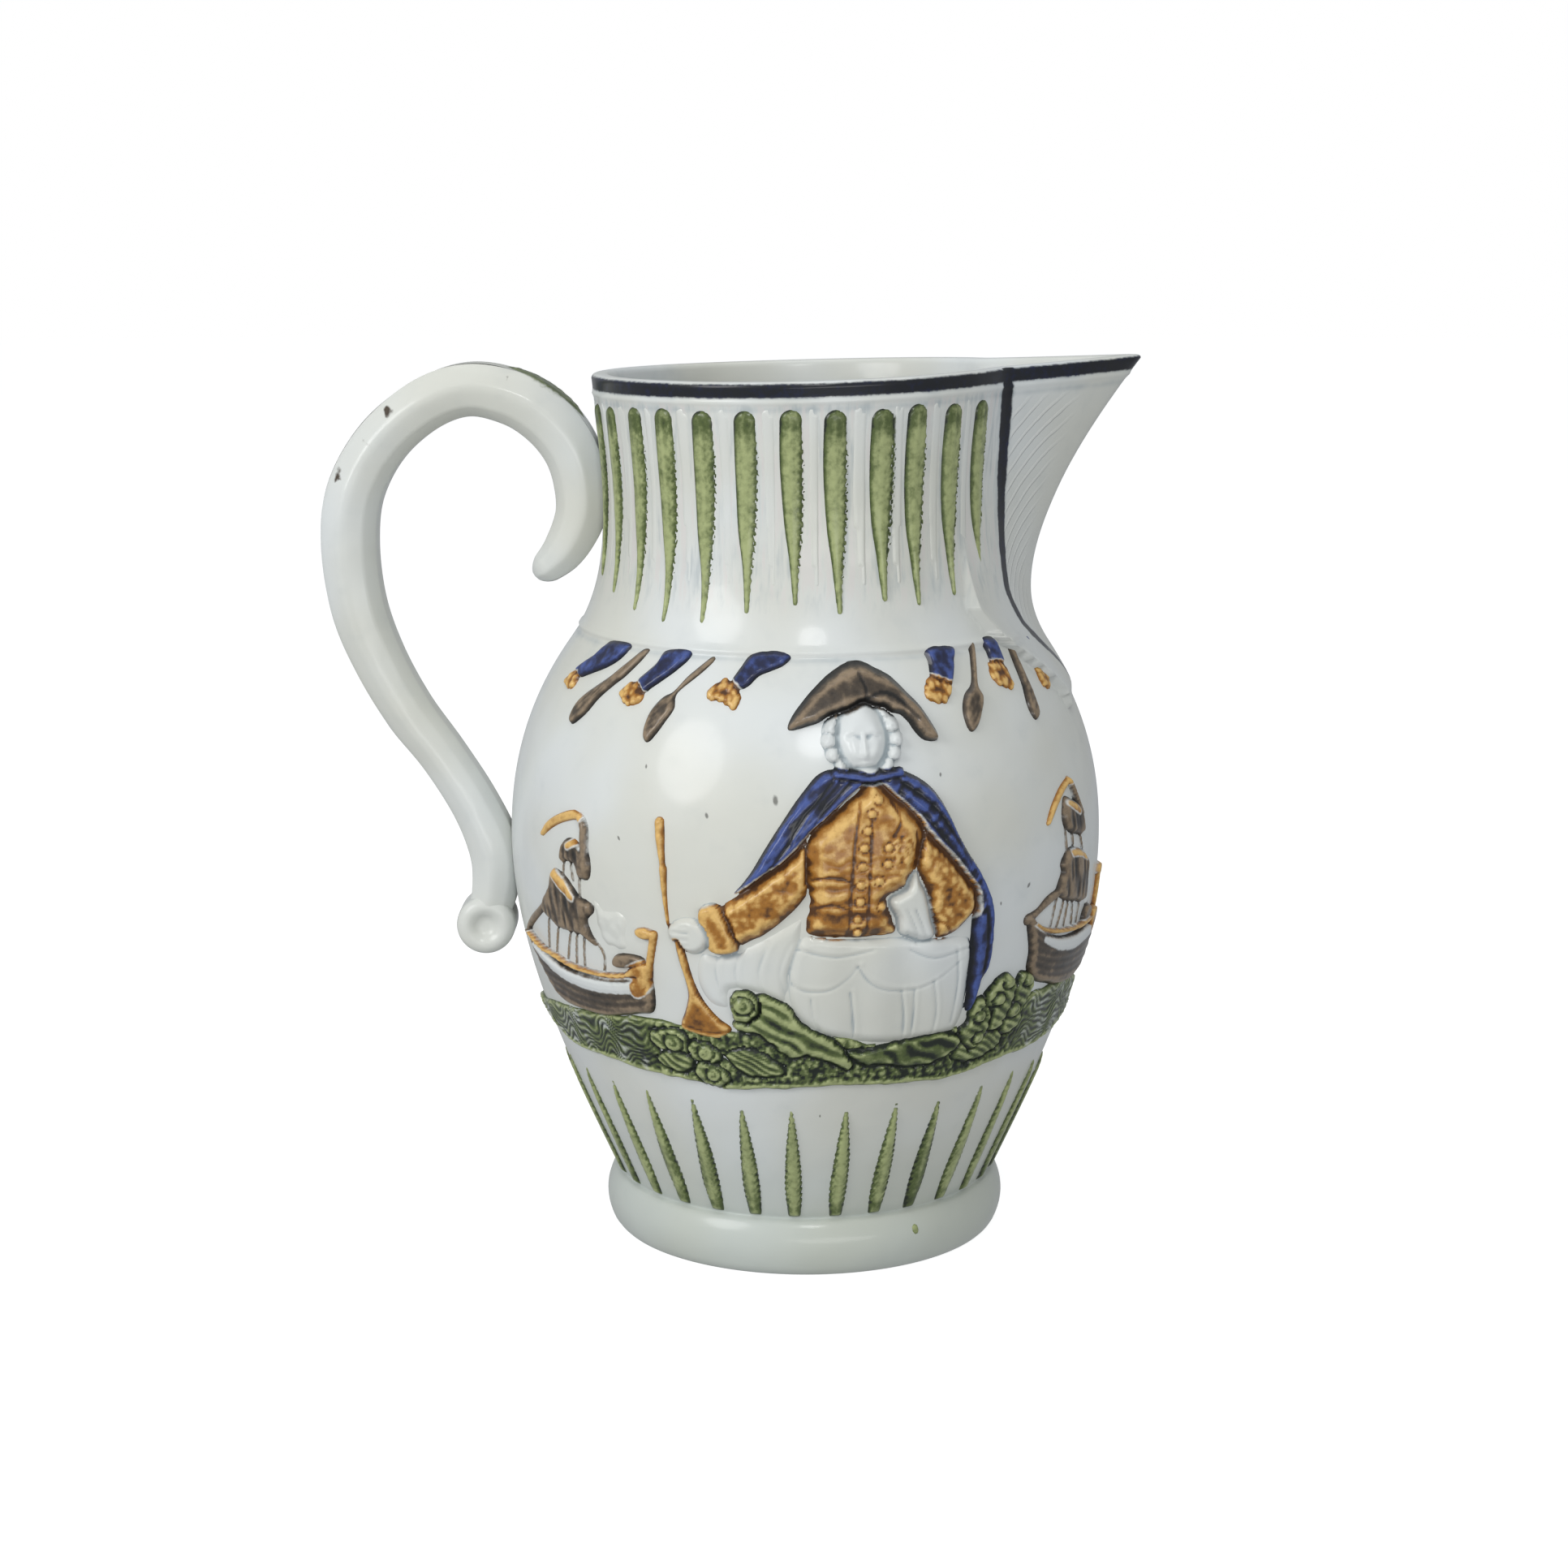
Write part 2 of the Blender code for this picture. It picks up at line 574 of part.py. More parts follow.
def make_thumb_leaf(collection):
    """A long leaf laid over the crown of the handle, where the thumb rests."""
    form = bmesh.new()
    bmesh.ops.create_uvsphere(form, u_segments=10, v_segments=6, radius=1.0)
    line = curve_through(handle_line(), 4 * HANDLE_STEPS)
    peak = max(line, key=lambda point: point[1])
    crown = []
    for point in line[:line.index(peak)]:
        if THUMB_LEAF_SETBACK < math.dist(point[:2], peak[:2]) < THUMB_LEAF_SETBACK + THUMB_LEAF_LENGTH:
            crown.append(point)
    for vert in form.verts:
        along = (vert.co.x + 1) / 2
        out, z, half = crown[int(along * (len(crown) - 1))]
        ahead = crown[min(int(along * (len(crown) - 1)) + 1, len(crown) - 1)]
        behind = crown[max(int(along * (len(crown) - 1)) - 1, 0)]
        run = Vector((ahead[0] - behind[0], ahead[1] - behind[1])).normalized()
        rise = half - ROOT * 0.4 + vert.co.z * (THUMB_LEAF_LIFT + ROOT * 0.4)
        vert.co = Vector((
            -(out - run.y * rise),
            vert.co.y * THUMB_LEAF_WIDTH / 2,
            z + run.x * rise,
        ))
    return add_joined_form("thumb_leaf", form, collection)


for item in list(bpy.data.objects):
    bpy.data.objects.remove(item)

jug_parts = bpy.data.collections.new("commemorative_jug")
raised_forms = bpy.data.collections.new("raised_forms")
for made_collection in (jug_parts, raised_forms):
    bpy.context.scene.collection.children.link(made_collection)

jug = make_body(jug_parts)
make_handle(raised_forms)
make_leaves(raised_forms)
for side_angle, plain_side in ((0.0, False), (180.0, True)):
    make_bank(side_angle, raised_forms, plain_side)
    make_tassels(side_angle, raised_forms, plain_side)
    make_figure(side_angle + FIGURE_ANGLE, raised_forms, plain_side)
    for ship_angle in SHIP_ANGLES:
        make_ship(side_angle + ship_angle, raised_forms, plain_side)

join = jug.modifiers.new("join", "BOOLEAN")
join.operation = "UNION"
join.operand_type = "COLLECTION"
join.collection = raised_forms
join.solver = "EXACT"

jug.data.materials.append(clay())
jug.data.shade_smooth()
jug.data.set_sharp_from_angle(angle=math.radians(40))
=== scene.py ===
# Looks of a small relief-moulded, underglaze-painted earthenware jug.
# Lengths are millimetres until a mesh is placed; the frame is the CAD's, +Z up, spout on +X, front on -Y.
import math

import bmesh
import bpy
import numpy as np
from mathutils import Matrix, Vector


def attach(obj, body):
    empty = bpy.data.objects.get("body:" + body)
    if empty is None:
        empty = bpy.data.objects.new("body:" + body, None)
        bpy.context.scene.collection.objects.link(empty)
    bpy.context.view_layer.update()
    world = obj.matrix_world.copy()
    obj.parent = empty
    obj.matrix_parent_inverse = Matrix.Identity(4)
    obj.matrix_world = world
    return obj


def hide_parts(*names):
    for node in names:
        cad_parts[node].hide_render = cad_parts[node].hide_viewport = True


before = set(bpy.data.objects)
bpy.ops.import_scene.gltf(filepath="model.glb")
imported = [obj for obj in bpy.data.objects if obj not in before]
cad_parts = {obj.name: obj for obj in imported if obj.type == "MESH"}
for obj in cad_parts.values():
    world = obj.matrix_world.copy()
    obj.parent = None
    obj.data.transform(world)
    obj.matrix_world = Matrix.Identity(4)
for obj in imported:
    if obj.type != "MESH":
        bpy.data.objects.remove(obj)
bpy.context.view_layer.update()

pigments = ("blue", "ochre", "brown", "green")

# how every relief is built, in millimetres
moulding = {
    "ground": -0.3,  # an empty field lies just inside the wall
    "cut": -0.17,  # what stays below this is left out of the mesh
    "footSpread": 0.28,
    "grow": 0.6,  # paint runs this far past its form
    "shell": 0.6,
    "shadeReach": 0.75,  # light and dark are read against the surroundings this far around
    "shadeDepth": 0.28,
    "soft": 0.16,
    "friezeRadius": 50.0,
}

turned = {
    "footRadius": 35.7,
    "footCrown": 1.5,
    "footHeight": 9.8,
    "wall": 3.3,
    "floor": 6.0,
    "floorFillet": 10.0,
    "lipRound": 1.0,
    "rimHeight": 151.4,
    "rimRadius": 37.0,
    # height, radius and slope of the wall at each station above the foot
    "stations": (
        (9.8, 33.2, 0.45), (71.0, 52.0, 0.0), (105.0, 41.4, -0.71), (130.0, 35.2, 0.0), (151.4, 37.0, 0.09),
    ),
    "steps": 400,
    "shoulderLine": 108.4,
    "rimBand": (148.75, 151.15),
    # heights of the fine moulded line under the band, and of the hollows and bands painted darker blue-grey under the
    # moulded lines and above the foot
    "rimLine": 148.1,
    "rimHollow": 146.9,
    "shoulderGroove": 107.5,
    "shoulderHollow": 107.2,
    "footHollow": 10.2,
}

spout = {
    "reach": 23.4,
    "rootHeight": 95.5,
    "curve": 1.9,
    "halfAngle": 26.6,
    "gather": 20.0,
    "rise": 3.4,
    # heights and the angles from the ridge at which the painted line runs
    "lineHeights": (97.6, 102, 105, 109.6, 115, 121, 128, 134, 148.7),
    "lineAngles": (0, 6.2, 11.6, 19.1, 22.4, 22.1, 22.7, 23.5, 25.7),
    # heights, and the half width that the line has there
    "widthHeights": (97, 106, 118, 148),
    "halfWidths": (0.6, 0.95, 1.3, 1.35),
    # heights, and how softly the spout's crease is rounded there
    "creaseHeights": (100, 112, 130),
    "creaseRounds": (4.2, 2.6, 1.1),
}


def ease(t):
    t = np.clip(t, 0.0, 1.0)
    return t * t * (3.0 - 2.0 * t)


def bell(value, centre, width):
    # 1 at the centre, fading alike to both sides
    return np.exp(-((value - centre) / width) ** 2)


def wallRadius(height):
    # radius of the plain turned wall
    height = np.asarray(height, float)
    bulge = 2 * height / turned["footHeight"] - 1
    radius = turned["footRadius"] - turned["footCrown"] * bulge**2
    for (z0, r0, s0), (z1, r1, s1) in zip(turned["stations"], turned["stations"][1:]):
        span = z1 - z0
        t = np.clip((height - z0) / span, 0.0, 1.0)
        curve = r0 * (2 * t**3 - 3 * t**2 + 1) + s0 * span * (t**3 - 2 * t**2 + t)
        curve += r1 * (3 * t**2 - 2 * t**3) + s1 * span * (t**3 - t**2)
        radius = np.where(height > z0, curve, radius)
    return radius


def rimRise(x, height):
    # the rim climbs towards the spout
    t = (x + turned["rimRadius"]) / (2 * turned["rimRadius"] + spout["reach"])
    share = ease((height - 105.0) / (turned["rimHeight"] - 105.0))
    return spout["rise"] * np.maximum(t, 0.0) ** 2 * share


def cheekRadius(turn, height, inset):
    # distance from the axis to a flat cheek of the spout, turn in radians from its ridge
    t = np.clip((height - spout["rootHeight"]) / (turned["rimHeight"] - spout["rootHeight"]), 0.0, 1.0)
    half = math.radians(spout["halfAngle"]) * ease((height - spout["rootHeight"]) / spout["gather"]) + 1e-5
    wall = wallRadius(height)
    tip = wall + spout["reach"] * t ** spout["curve"]
    runX, runY = wall * np.cos(half) - tip, wall * np.sin(half)
    length = np.hypot(runX, runY)
    normalX, normalY = runY / length, -runX / length
    soft = np.hypot(turn, 0.022)  # the ridge is slightly rounded
    facing = normalX * np.cos(soft) + normalY * np.sin(soft)
    radius = (normalX * tip - inset) / np.maximum(facing, 0.05)
    return np.where((t > 0) & (np.abs(turn) < half + 0.3), radius, 0.0)


def smoothLine(points, count, closed=False):
    # count points on a smooth curve through the given ones
    points = np.array(points, float)
    padded = np.vstack([points[:1], points, points[-1:]])
    segments = len(points) - 1
    if closed:
        padded = np.vstack([points[-1:], points, points[:2]])
        segments = len(points)
    place = np.linspace(0, segments, count, endpoint=not closed)
    k = np.minimum(place.astype(int), segments - 1)
    t = (place - k)[:, None]
    a, b, c, d = (padded[k + i] for i in range(4))
    return 0.5 * (2 * b + (c - a) * t + (2 * a - 5 * b + 4 * c - d) * t**2 + (3 * b - a - 3 * c + d) * t**3)


def chance(x, y, seed):
    # a repeatable random value from 0 to 1 for each pair of whole numbers
    value = np.sin(x * 127.1 + y * 311.7 + seed * 74.7) * 43758.5453
    return value - np.floor(value)


def softNoise(x, y, size, seed):
    # smooth noise from 0 to 1 with features of the given size
    x, y = x / size, y / size
    x0, y0 = np.floor(x), np.floor(y)
    u, v = ease(x - x0), ease(y - y0)
    low = chance(x0, y0, seed) * (1 - u) + chance(x0 + 1, y0, seed) * u
    high = chance(x0, y0 + 1, seed) * (1 - u) + chance(x0 + 1, y0 + 1, seed) * u
    return low * (1 - v) + high * v


def pebbleNoise(x, y, size, seed):
    # distance to the nearest of many scattered points, 0 at a point and about 1 between them
    x, y = x / size, y / size
    x0, y0 = np.floor(x), np.floor(y)
    best = np.full(np.shape(x), 9.0)
    for i in (-1, 0, 1):
        for j in (-1, 0, 1):
            px = x0 + i + chance(x0 + i, y0 + j, seed)
            py = y0 + j + chance(x0 + i, y0 + j, seed + 7)
            best = np.minimum(best, np.hypot(x - px, y - py))
    return np.minimum(best / 0.75, 1.0)


def blurred(values, radius):
    # gaussian blur, radius in cells
    reach = int(math.ceil(2.5 * radius))
    weights = np.exp(-0.5 * (np.arange(-reach, reach + 1) / radius) ** 2)
    weights /= weights.sum()
    for axis in (0, 1):
        edge = [(reach, reach) if a == axis else (0, 0) for a in (0, 1)]
        padded = np.pad(values, edge, mode="edge")
        size = values.shape[axis]
        values = sum(w * np.take(padded, np.arange(i, i + size), axis) for i, w in enumerate(weights))
    return values


def newField(left, right, low, high, cell, radius):
    # left and right are measured along the wall at the given radius, from the front towards the spout
    columns, rows = int(round((right - left) / cell)), int(round((high - low) / cell))
    across, up = np.meshgrid(np.linspace(left, right, columns + 1), np.linspace(low, high, rows + 1))
    field = {"across": across, "up": up, "columns": columns, "rows": rows, "cell": cell, "radius": radius}
    field["height"] = np.full(across.shape, moulding["ground"])
    field["stain"] = np.zeros(across.shape)
    for pigment in pigments:
        field[pigment] = np.full(across.shape, -2.0)
    return field


def windowOf(field, line, reach):
    columns = np.searchsorted(field["across"][0], [line[:, 0].min() - reach, line[:, 0].max() + reach])
    rows = np.searchsorted(field["up"][:, 0], [line[:, 1].min() - reach, line[:, 1].max() + reach])
    return slice(rows[0], rows[1]), slice(columns[0], columns[1])


def stroke(field, spine, steps):
    # a band along points of (across, up, half width): window, signed distance, share along, side, half width
    spine = np.array(spine, float)
    line = smoothLine(spine, steps)
    line[:, 2] = np.maximum(line[:, 2], 0.05)
    window = windowOf(field, line, line[:, 2].max() + 1.2)
    a, z = field["across"][window], field["up"][window]
    runs = np.diff(line[:, :2], axis=0)
    lengths = np.maximum(np.hypot(runs[:, 0], runs[:, 1]), 1e-6)
    starts = np.concatenate([[0.0], np.cumsum(lengths)])
    signed, along = np.full(a.shape, 99.0), np.zeros(a.shape)
    side, half = np.zeros(a.shape), np.ones(a.shape)
    for i in range(len(runs)):
        (px, pz, pw), (dx, dz) = line[i], runs[i]
        t = np.clip(((a - px) * dx + (z - pz) * dz) / lengths[i] ** 2, 0.0, 1.0)
        offX, offZ = a - px - t * dx, z - pz - t * dz
        width = pw + t * (line[i + 1, 2] - pw)
        distance = np.hypot(offX, offZ)
        closer = distance - width < signed
        signed = np.where(closer, distance - width, signed)
        along = np.where(closer, (starts[i] + t * lengths[i]) / starts[-1], along)
        side = np.where(closer, np.sign(dx * offZ - dz * offX) * distance / width, side)
        half = np.where(closer, width, half)
    return {"window": window, "signed": signed, "along": along, "side": side, "half": half, "length": starts[-1]}


def outline(field, points):
    # the area inside a closed outline of (across, up) points
    line = smoothLine(points, 5 * len(points), closed=True)
    window = windowOf(field, line, 1.2)
    a, z = field["across"][window], field["up"][window]
    distance, inside = np.full(a.shape, 99.0), np.zeros(a.shape, bool)
    for (px, pz), (qx, qz) in zip(line, np.roll(line, -1, axis=0)):
        dx, dz = qx - px, qz - pz
        t = np.clip(((a - px) * dx + (z - pz) * dz) / max(dx * dx + dz * dz, 1e-9), 0.0, 1.0)
        distance = np.minimum(distance, np.hypot(a - px - t * dx, z - pz - t * dz))
        if abs(dz) > 1e-9:
            inside ^= ((pz > z) != (qz > z)) & (a < dx * (z - pz) / dz + px)
    return {"window": window, "signed": np.where(inside, -distance, distance)}


def oval(field, across, up, halfWide, halfHigh, lean=0.0):
    # an ellipse, leaning to the left by some degrees
    reach = max(halfWide, halfHigh)
    window = windowOf(field, np.array([(across - reach, up - reach), (across + reach, up + reach)]), 1.0)
    a, z = field["across"][window] - across, field["up"][window] - up
    turn = math.radians(lean)
    u, v = a * math.cos(turn) + z * math.sin(turn), z * math.cos(turn) - a * math.sin(turn)
    share = np.hypot(u / halfWide, v / halfHigh)
    return {"window": window, "signed": (share - 1) * min(halfWide, halfHigh), "share": share, "u": u, "v": v}


def swell(field, form, lift, edge, over=0.0):
    # raises a form, its foot spreading a little into the wall; over from 0 to 1 cuts it free of what lies under it
    window, signed, ground = form["window"], form["signed"] - moulding["footSpread"], moulding["ground"]
    under = field["height"][window]
    rise = ease(-signed / edge) ** 0.8
    target = ground + (lift - ground) * rise
    if over:
        base = np.maximum(under, ground) * (1 - over) + ground * over
        target = np.maximum(target, base + (lift - base) * rise)
        field["height"][window] = np.where(signed < 0, target, under)
    else:
        field["height"][window] = np.where(signed < 0, np.maximum(target, under), under)


def paint(field, form, pigment, grow=moulding["grow"]):
    # lays one paint over the others inside a form and wipes its shading; None leaves the form bare
    window, signed = form["window"], form["signed"] - (grow if pigment else 0.1)
    for other in pigments:
        if other == pigment:
            field[other][window] = np.maximum(field[other][window], -signed)
        else:
            field[other][window] = np.minimum(field[other][window], signed)
    field["stain"][window] *= form["signed"] > moulding["footSpread"]


def tint(field, form, amount, soft=0.4):
    # makes the paint lighter (above 0) or darker inside a form
    window = form["window"]
    field["stain"][window] += amount * ease(0.5 - form["signed"] / (2 * soft))


def carve(field, form, height, stain, edge=0.0):
    # adds relief, and painted light and shade or marks of the paint, inside a form
    inside = form["signed"] < edge
    field["height"][form["window"]] += inside * height
    field["stain"][form["window"]] += inside * stain


def score(field, points, half, depth, amount=0.0, inside=None):
    # a groove, or with a negative depth a ridge, along (across, up) points
    spine = [(p[0], p[1], half if len(p) < 3 else p[2]) for p in points]
    form = stroke(field, spine, 3 * len(spine))
    window = form["window"]
    share = ease(-form["signed"] / form["half"])
    if inside is not None:
        share = share * (field["height"][window] > inside)
    field["height"][window] -= depth * share
    field["stain"][window] += amount * share


def finishField(field, soft=moulding["soft"]):
    # softens the relief as the glaze does, and reads light and dark from it
    field["height"] = blurred(field["height"], soft / field["cell"])
    wide = blurred(field["height"], moulding["shadeReach"] / field["cell"])
    relative = (field["height"] - wide) / moulding["shadeDepth"]
    field["tone"] = np.clip(relative + field["stain"], -1.0, 1.0)
    return field


def friezeField(plan, box, plain):
    # the field of one half of the frieze; the plainer back is made of coarser cells
    cell = plan["cell"] * (plan["coarser"] if plain else 1.0)
    return newField(*box, cell, moulding["friezeRadius"])


def meshFrom(name, form):
    mesh = bpy.data.meshes.new(name)
    form.to_mesh(mesh)
    form.free()
    return mesh


def pointsOf(mesh):
    place = np.zeros(len(mesh.vertices) * 3)
    mesh.vertices.foreach_get("co", place)
    return place.reshape(-1, 3)


def placePoints(mesh, x, y, z):
    # moves each vertex, from millimetres to metres
    mesh.vertices.foreach_set("co", (np.stack([x, y, z], axis=1) / 1000).ravel())


def gridPlaces(flat, columns, rows):
    # column and row of each vertex of a flat grid two units wide
    return [np.rint((flat[:, k] + 1) / 2 * count).astype(int) for k, count in enumerate((columns, rows))]


def setShade(mesh):
    mesh.polygons.foreach_set("use_smooth", np.ones(len(mesh.polygons), bool))


def addPoints(mesh, name, values):
    layer = mesh.attributes.new(name, "FLOAT", "POINT")
    layer.data.foreach_set("value", np.asarray(values, np.float32).ravel())


def addPiece(name, mesh, material):
    piece = bpy.data.objects.new(name, mesh)
    bpy.context.scene.collection.objects.link(piece)
    mesh.materials.append(material)
    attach(piece, "root")
    return piece


def makeRelief(name, field, turn=0.0):
    # turns a field into a thin closed shell lying on the wall, without the parts that stay below it
    form = bmesh.new()
    bmesh.ops.create_grid(form, x_segments=field["columns"], y_segments=field["rows"], size=1.0)
    form.verts.ensure_lookup_table()
    flat = np.array([vert.co[:2] for vert in form.verts])
    column, row = gridPlaces(flat, field["columns"], field["rows"])
    high = field["height"] > moulding["cut"]
    grown = high.copy()
    grown[1:] |= high[:-1]
    grown[:-1] |= high[1:]
    grown[:, 1:] |= grown[:, :-1].copy()
    grown[:, :-1] |= grown[:, 1:].copy()
    keep = grown[row, column]
    spare = [vert for vert, kept in zip(form.verts, keep) if not kept]
    bmesh.ops.delete(form, geom=spare, context="VERTS")
    loose = [vert for vert in form.verts if not vert.link_faces]
    bmesh.ops.delete(form, geom=loose, context="VERTS")
    mesh = meshFrom(name, form)
    column, row = gridPlaces(pointsOf(mesh), field["columns"], field["rows"])
    across, up = field["across"][row, column], field["up"][row, column]
    angle = across / field["radius"] + math.radians(turn)
    radius = wallRadius(up) + field["height"][row, column]
    x, y = radius * np.sin(angle), -radius * np.cos(angle)
    placePoints(mesh, x, y, up + rimRise(x, up))
    for key in ("tone", *pigments):
        addPoints(mesh, key, field[key][row, column])
    setShade(mesh)
    piece = addPiece(name, mesh, reliefGlaze)
    shell = piece.modifiers.new("shell", "SOLIDIFY")
    shell.thickness = moulding["shell"] / 1000
    shell.offset = -1.0
    print(name, "triangles", 4 * len(mesh.polygons))


def linear(code):
    # sRGB hex to linear colour
    parts = [int(code[i:i + 2], 16) / 255 for i in (1, 3, 5)]
    return [c / 12.92 if c <= 0.04045 else ((c + 0.055) / 1.055) ** 2.4 for c in parts] + [1.0]


def addNode(tree, kind, inputs=None, out=0, **settings):
    # adds a node with its settings, fills its sockets with numbers or links, and gives back one output
    node = tree.nodes.new(kind)
    for key, value in settings.items():
        setattr(node, key, value)
    for key, value in (inputs or {}).items():
        if isinstance(value, bpy.types.NodeSocket):
            tree.links.new(value, node.inputs[key])
        else:
            node.inputs[key].default_value = value
    return node.outputs[out] if len(node.outputs) else node


glaze = {
    "lit": "#d9dddc",
    "warm": "#d2d3ca",
    "poolAndShade": "#93a0a6",
    "footGreyGreen": "#aeb6aa",
    "blush": "#d6d0cc",
    "speck": "#2e2822",
    # widths of its patterns in millimetres
    "combSpacing": 3.0,
    "cloud": 38.0,
    "patch": 5.5,
    "grain": 1.1,
    "run": 1.5,
    "peel": 0.9,
    "pressing": 7.0,
    "speckSpacing": 8.0,
    "combLit": "#f0f0ea",
    # dark, middle and light colour of each paint under the glaze: painted shade, the paint itself and painted
    # highlight
    "blue": ("#020410", "#0b143c", "#3c5192"),
    "ochre": ("#4e2c06", "#9c6619", "#dfb66c"),
    "brown": ("#15100b", "#43382c", "#8d7a62"),
    "green": ("#0d1706", "#4d5b2a", "#a5ae78"),
    # across and up on the wall, half length and lean of the larger kiln specks
    "specks": ((-5.1, 86.2, 0.85, 0.15), (-16.2, 83.4, 0.5, 0.3), (-28.1, 90.1, 0.35, 0.0), (-31.9, 78.2, 0.4, 0.5),
               (39.3, 69.2, 0.5, -0.6), (33.1, 67.1, 0.3, 0.0), (22.6, 89.3, 0.35, 0.0), (2.6, 31.2, 0.3, 0.0)),
}


def glazeMaterial(name, onBody=False):
    # Fired earthenware under a clear lead glaze with a trace of cobalt: cool white, blue-grey in the hollows, partly
    # pooled glaze and partly painted shade, with a wet-looking surface. Paints lie under the glaze, so their edges
    # bleed a little.
    material = bpy.data.materials.new(name)
    material.use_nodes = True
    tree = material.node_tree
    tree.nodes.clear()
    sums, noise, span, mix = "ShaderNodeMath", "ShaderNodeTexNoise", "ShaderNodeMapRange", "ShaderNodeMix"
    smooth = "SMOOTHSTEP"
    place = addNode(tree, "ShaderNodeTexCoord", out="Object")
    tone = addNode(tree, "ShaderNodeAttribute", out="Fac", attribute_name="tone")
    # cloudy unevenness in three sizes
    wide = addNode(tree, noise, {"Vector": place, "Scale": 1000 / glaze["cloud"], "Detail": 2.0})
    middle = addNode(tree, noise, {"Vector": place, "Scale": 1000 / glaze["patch"], "Detail": 3.0})
    fine = addNode(tree, noise, {"Vector": place, "Scale": 1000 / glaze["grain"], "Detail": 3.0, "Roughness": 0.6})
    # hollows read blue-grey, partly glaze collected there and partly painted shade from the relief's tone; crests
    # read warm white
    patchy = addNode(tree, sums, {0: middle, 1: 0.9, 2: -0.45}, operation="MULTIPLY_ADD")
    hollow = addNode(tree, sums, {0: tone, 1: -0.75, 2: patchy}, operation="MULTIPLY_ADD")
    share = addNode(tree, span, {"Value": wide, "From Min": 0.35, "From Max": 0.65}, interpolation_type=smooth)
    colour = addNode(tree, mix, {0: share, 6: linear(glaze["lit"]), 7: linear(glaze["warm"])}, 2, data_type="RGBA")
    share = addNode(tree, span, {"Value": hollow, "From Min": 0.0, "From Max": 1.0, "To Max": 0.85},
                    interpolation_type=smooth)
    colour = addNode(tree, mix, {0: share, 6: colour, 7: linear(glaze["poolAndShade"])}, 2, data_type="RGBA")
    # the glaze is painted greyer, greener and darker towards the bottom, round the foot
    height = addNode(tree, "ShaderNodeSeparateXYZ", {0: place}, "Z")
    share = addNode(tree, span, {"Value": height, "From Min": 0.034, "From Max": 0.004, "To Max": 0.6},
                    interpolation_type=smooth)
    colour = addNode(tree, mix, {0: share, 6: colour, 7: linear(glaze["footGreyGreen"])}, 2, data_type="RGBA")
    if onBody:
        # thin upright runs, bluish and pinkish, between the leaves of the neck
        narrow = addNode(tree, "ShaderNodeMapping", {"Vector": place, "Scale": (1.0, 1.0, 0.09)})
        runs = addNode(tree, noise, {
            "Vector": narrow, "Scale": 1000 / glaze["run"], "Detail": 3.0, "Roughness": 0.6})
        neck = addNode(tree, "ShaderNodeAttribute", out="Fac", attribute_name="neck")
        for low, high, code, most in ((0.48, 0.72, "poolAndShade", 0.4), (0.5, 0.38, "blush", 0.5)):
            share = addNode(tree, span, {"Value": runs, "From Min": low, "From Max": high, "To Max": most},
                            interpolation_type=smooth)
            share = addNode(tree, sums, {0: share, 1: neck}, operation="MULTIPLY")
            colour = addNode(tree, mix, {0: share, 6: colour, 7: linear(glaze[code])}, 2, data_type="RGBA")
    # wavering of each paint's edge, and its streaks: brush streaks where it lies thick or thin, and painted light and
    # shade from the relief's tone
    wobble = addNode(tree, sums, {0: middle, 1: 0.25, 2: -0.375}, operation="MULTIPLY_ADD")
    wobble = addNode(tree, sums, {0: fine, 1: 0.5, 2: wobble}, operation="MULTIPLY_ADD")
    streak = addNode(tree, sums, {0: tone, 1: 0.5, 2: -0.225}, operation="MULTIPLY_ADD")
    streak = addNode(tree, sums, {0: fine, 1: 0.85, 2: streak}, operation="MULTIPLY_ADD")
    streak = addNode(tree, sums, {0: middle, 1: 0.5, 2: streak}, operation="MULTIPLY_ADD")
    lower = addNode(tree, span, {"Value": streak, "From Min": 0.0, "From Max": 0.5}, interpolation_type=smooth)
    upper = addNode(tree, span, {"Value": streak, "From Min": 0.45, "From Max": 1.1}, interpolation_type=smooth)
    for pigment in pigments:
        depth = addNode(tree, "ShaderNodeAttribute", out="Fac", attribute_name=pigment)
        if pigment == "blue" and onBody:
            side = addNode(tree, "ShaderNodeAttribute", out="Fac", attribute_name="lineSide")
            half = addNode(tree, "ShaderNodeAttribute", out="Fac", attribute_name="lineHalf")
            side = addNode(tree, sums, {0: side}, operation="ABSOLUTE")
            line = addNode(tree, sums, {0: half, 1: side}, operation="SUBTRACT")
            depth = addNode(tree, sums, {0: depth, 1: line}, operation="MAXIMUM")
        depth = addNode(tree, sums, {0: depth, 1: wobble}, operation="ADD")
        # thin paint at a stroke's rim lets the white body through
        share = addNode(tree, span, {"Value": depth, "From Min": -0.12, "From Max": 0.3, "To Max": 0.97},
                        interpolation_type=smooth)
        dark, medium, light = (linear(code) for code in glaze[pigment])
        shade = addNode(tree, mix, {0: lower, 6: dark, 7: medium}, 2, data_type="RGBA")
        shade = addNode(tree, mix, {0: upper, 6: shade, 7: light}, 2, data_type="RGBA")
        colour = addNode(tree, mix, {0: share, 6: colour, 7: shade}, 2, data_type="RGBA")
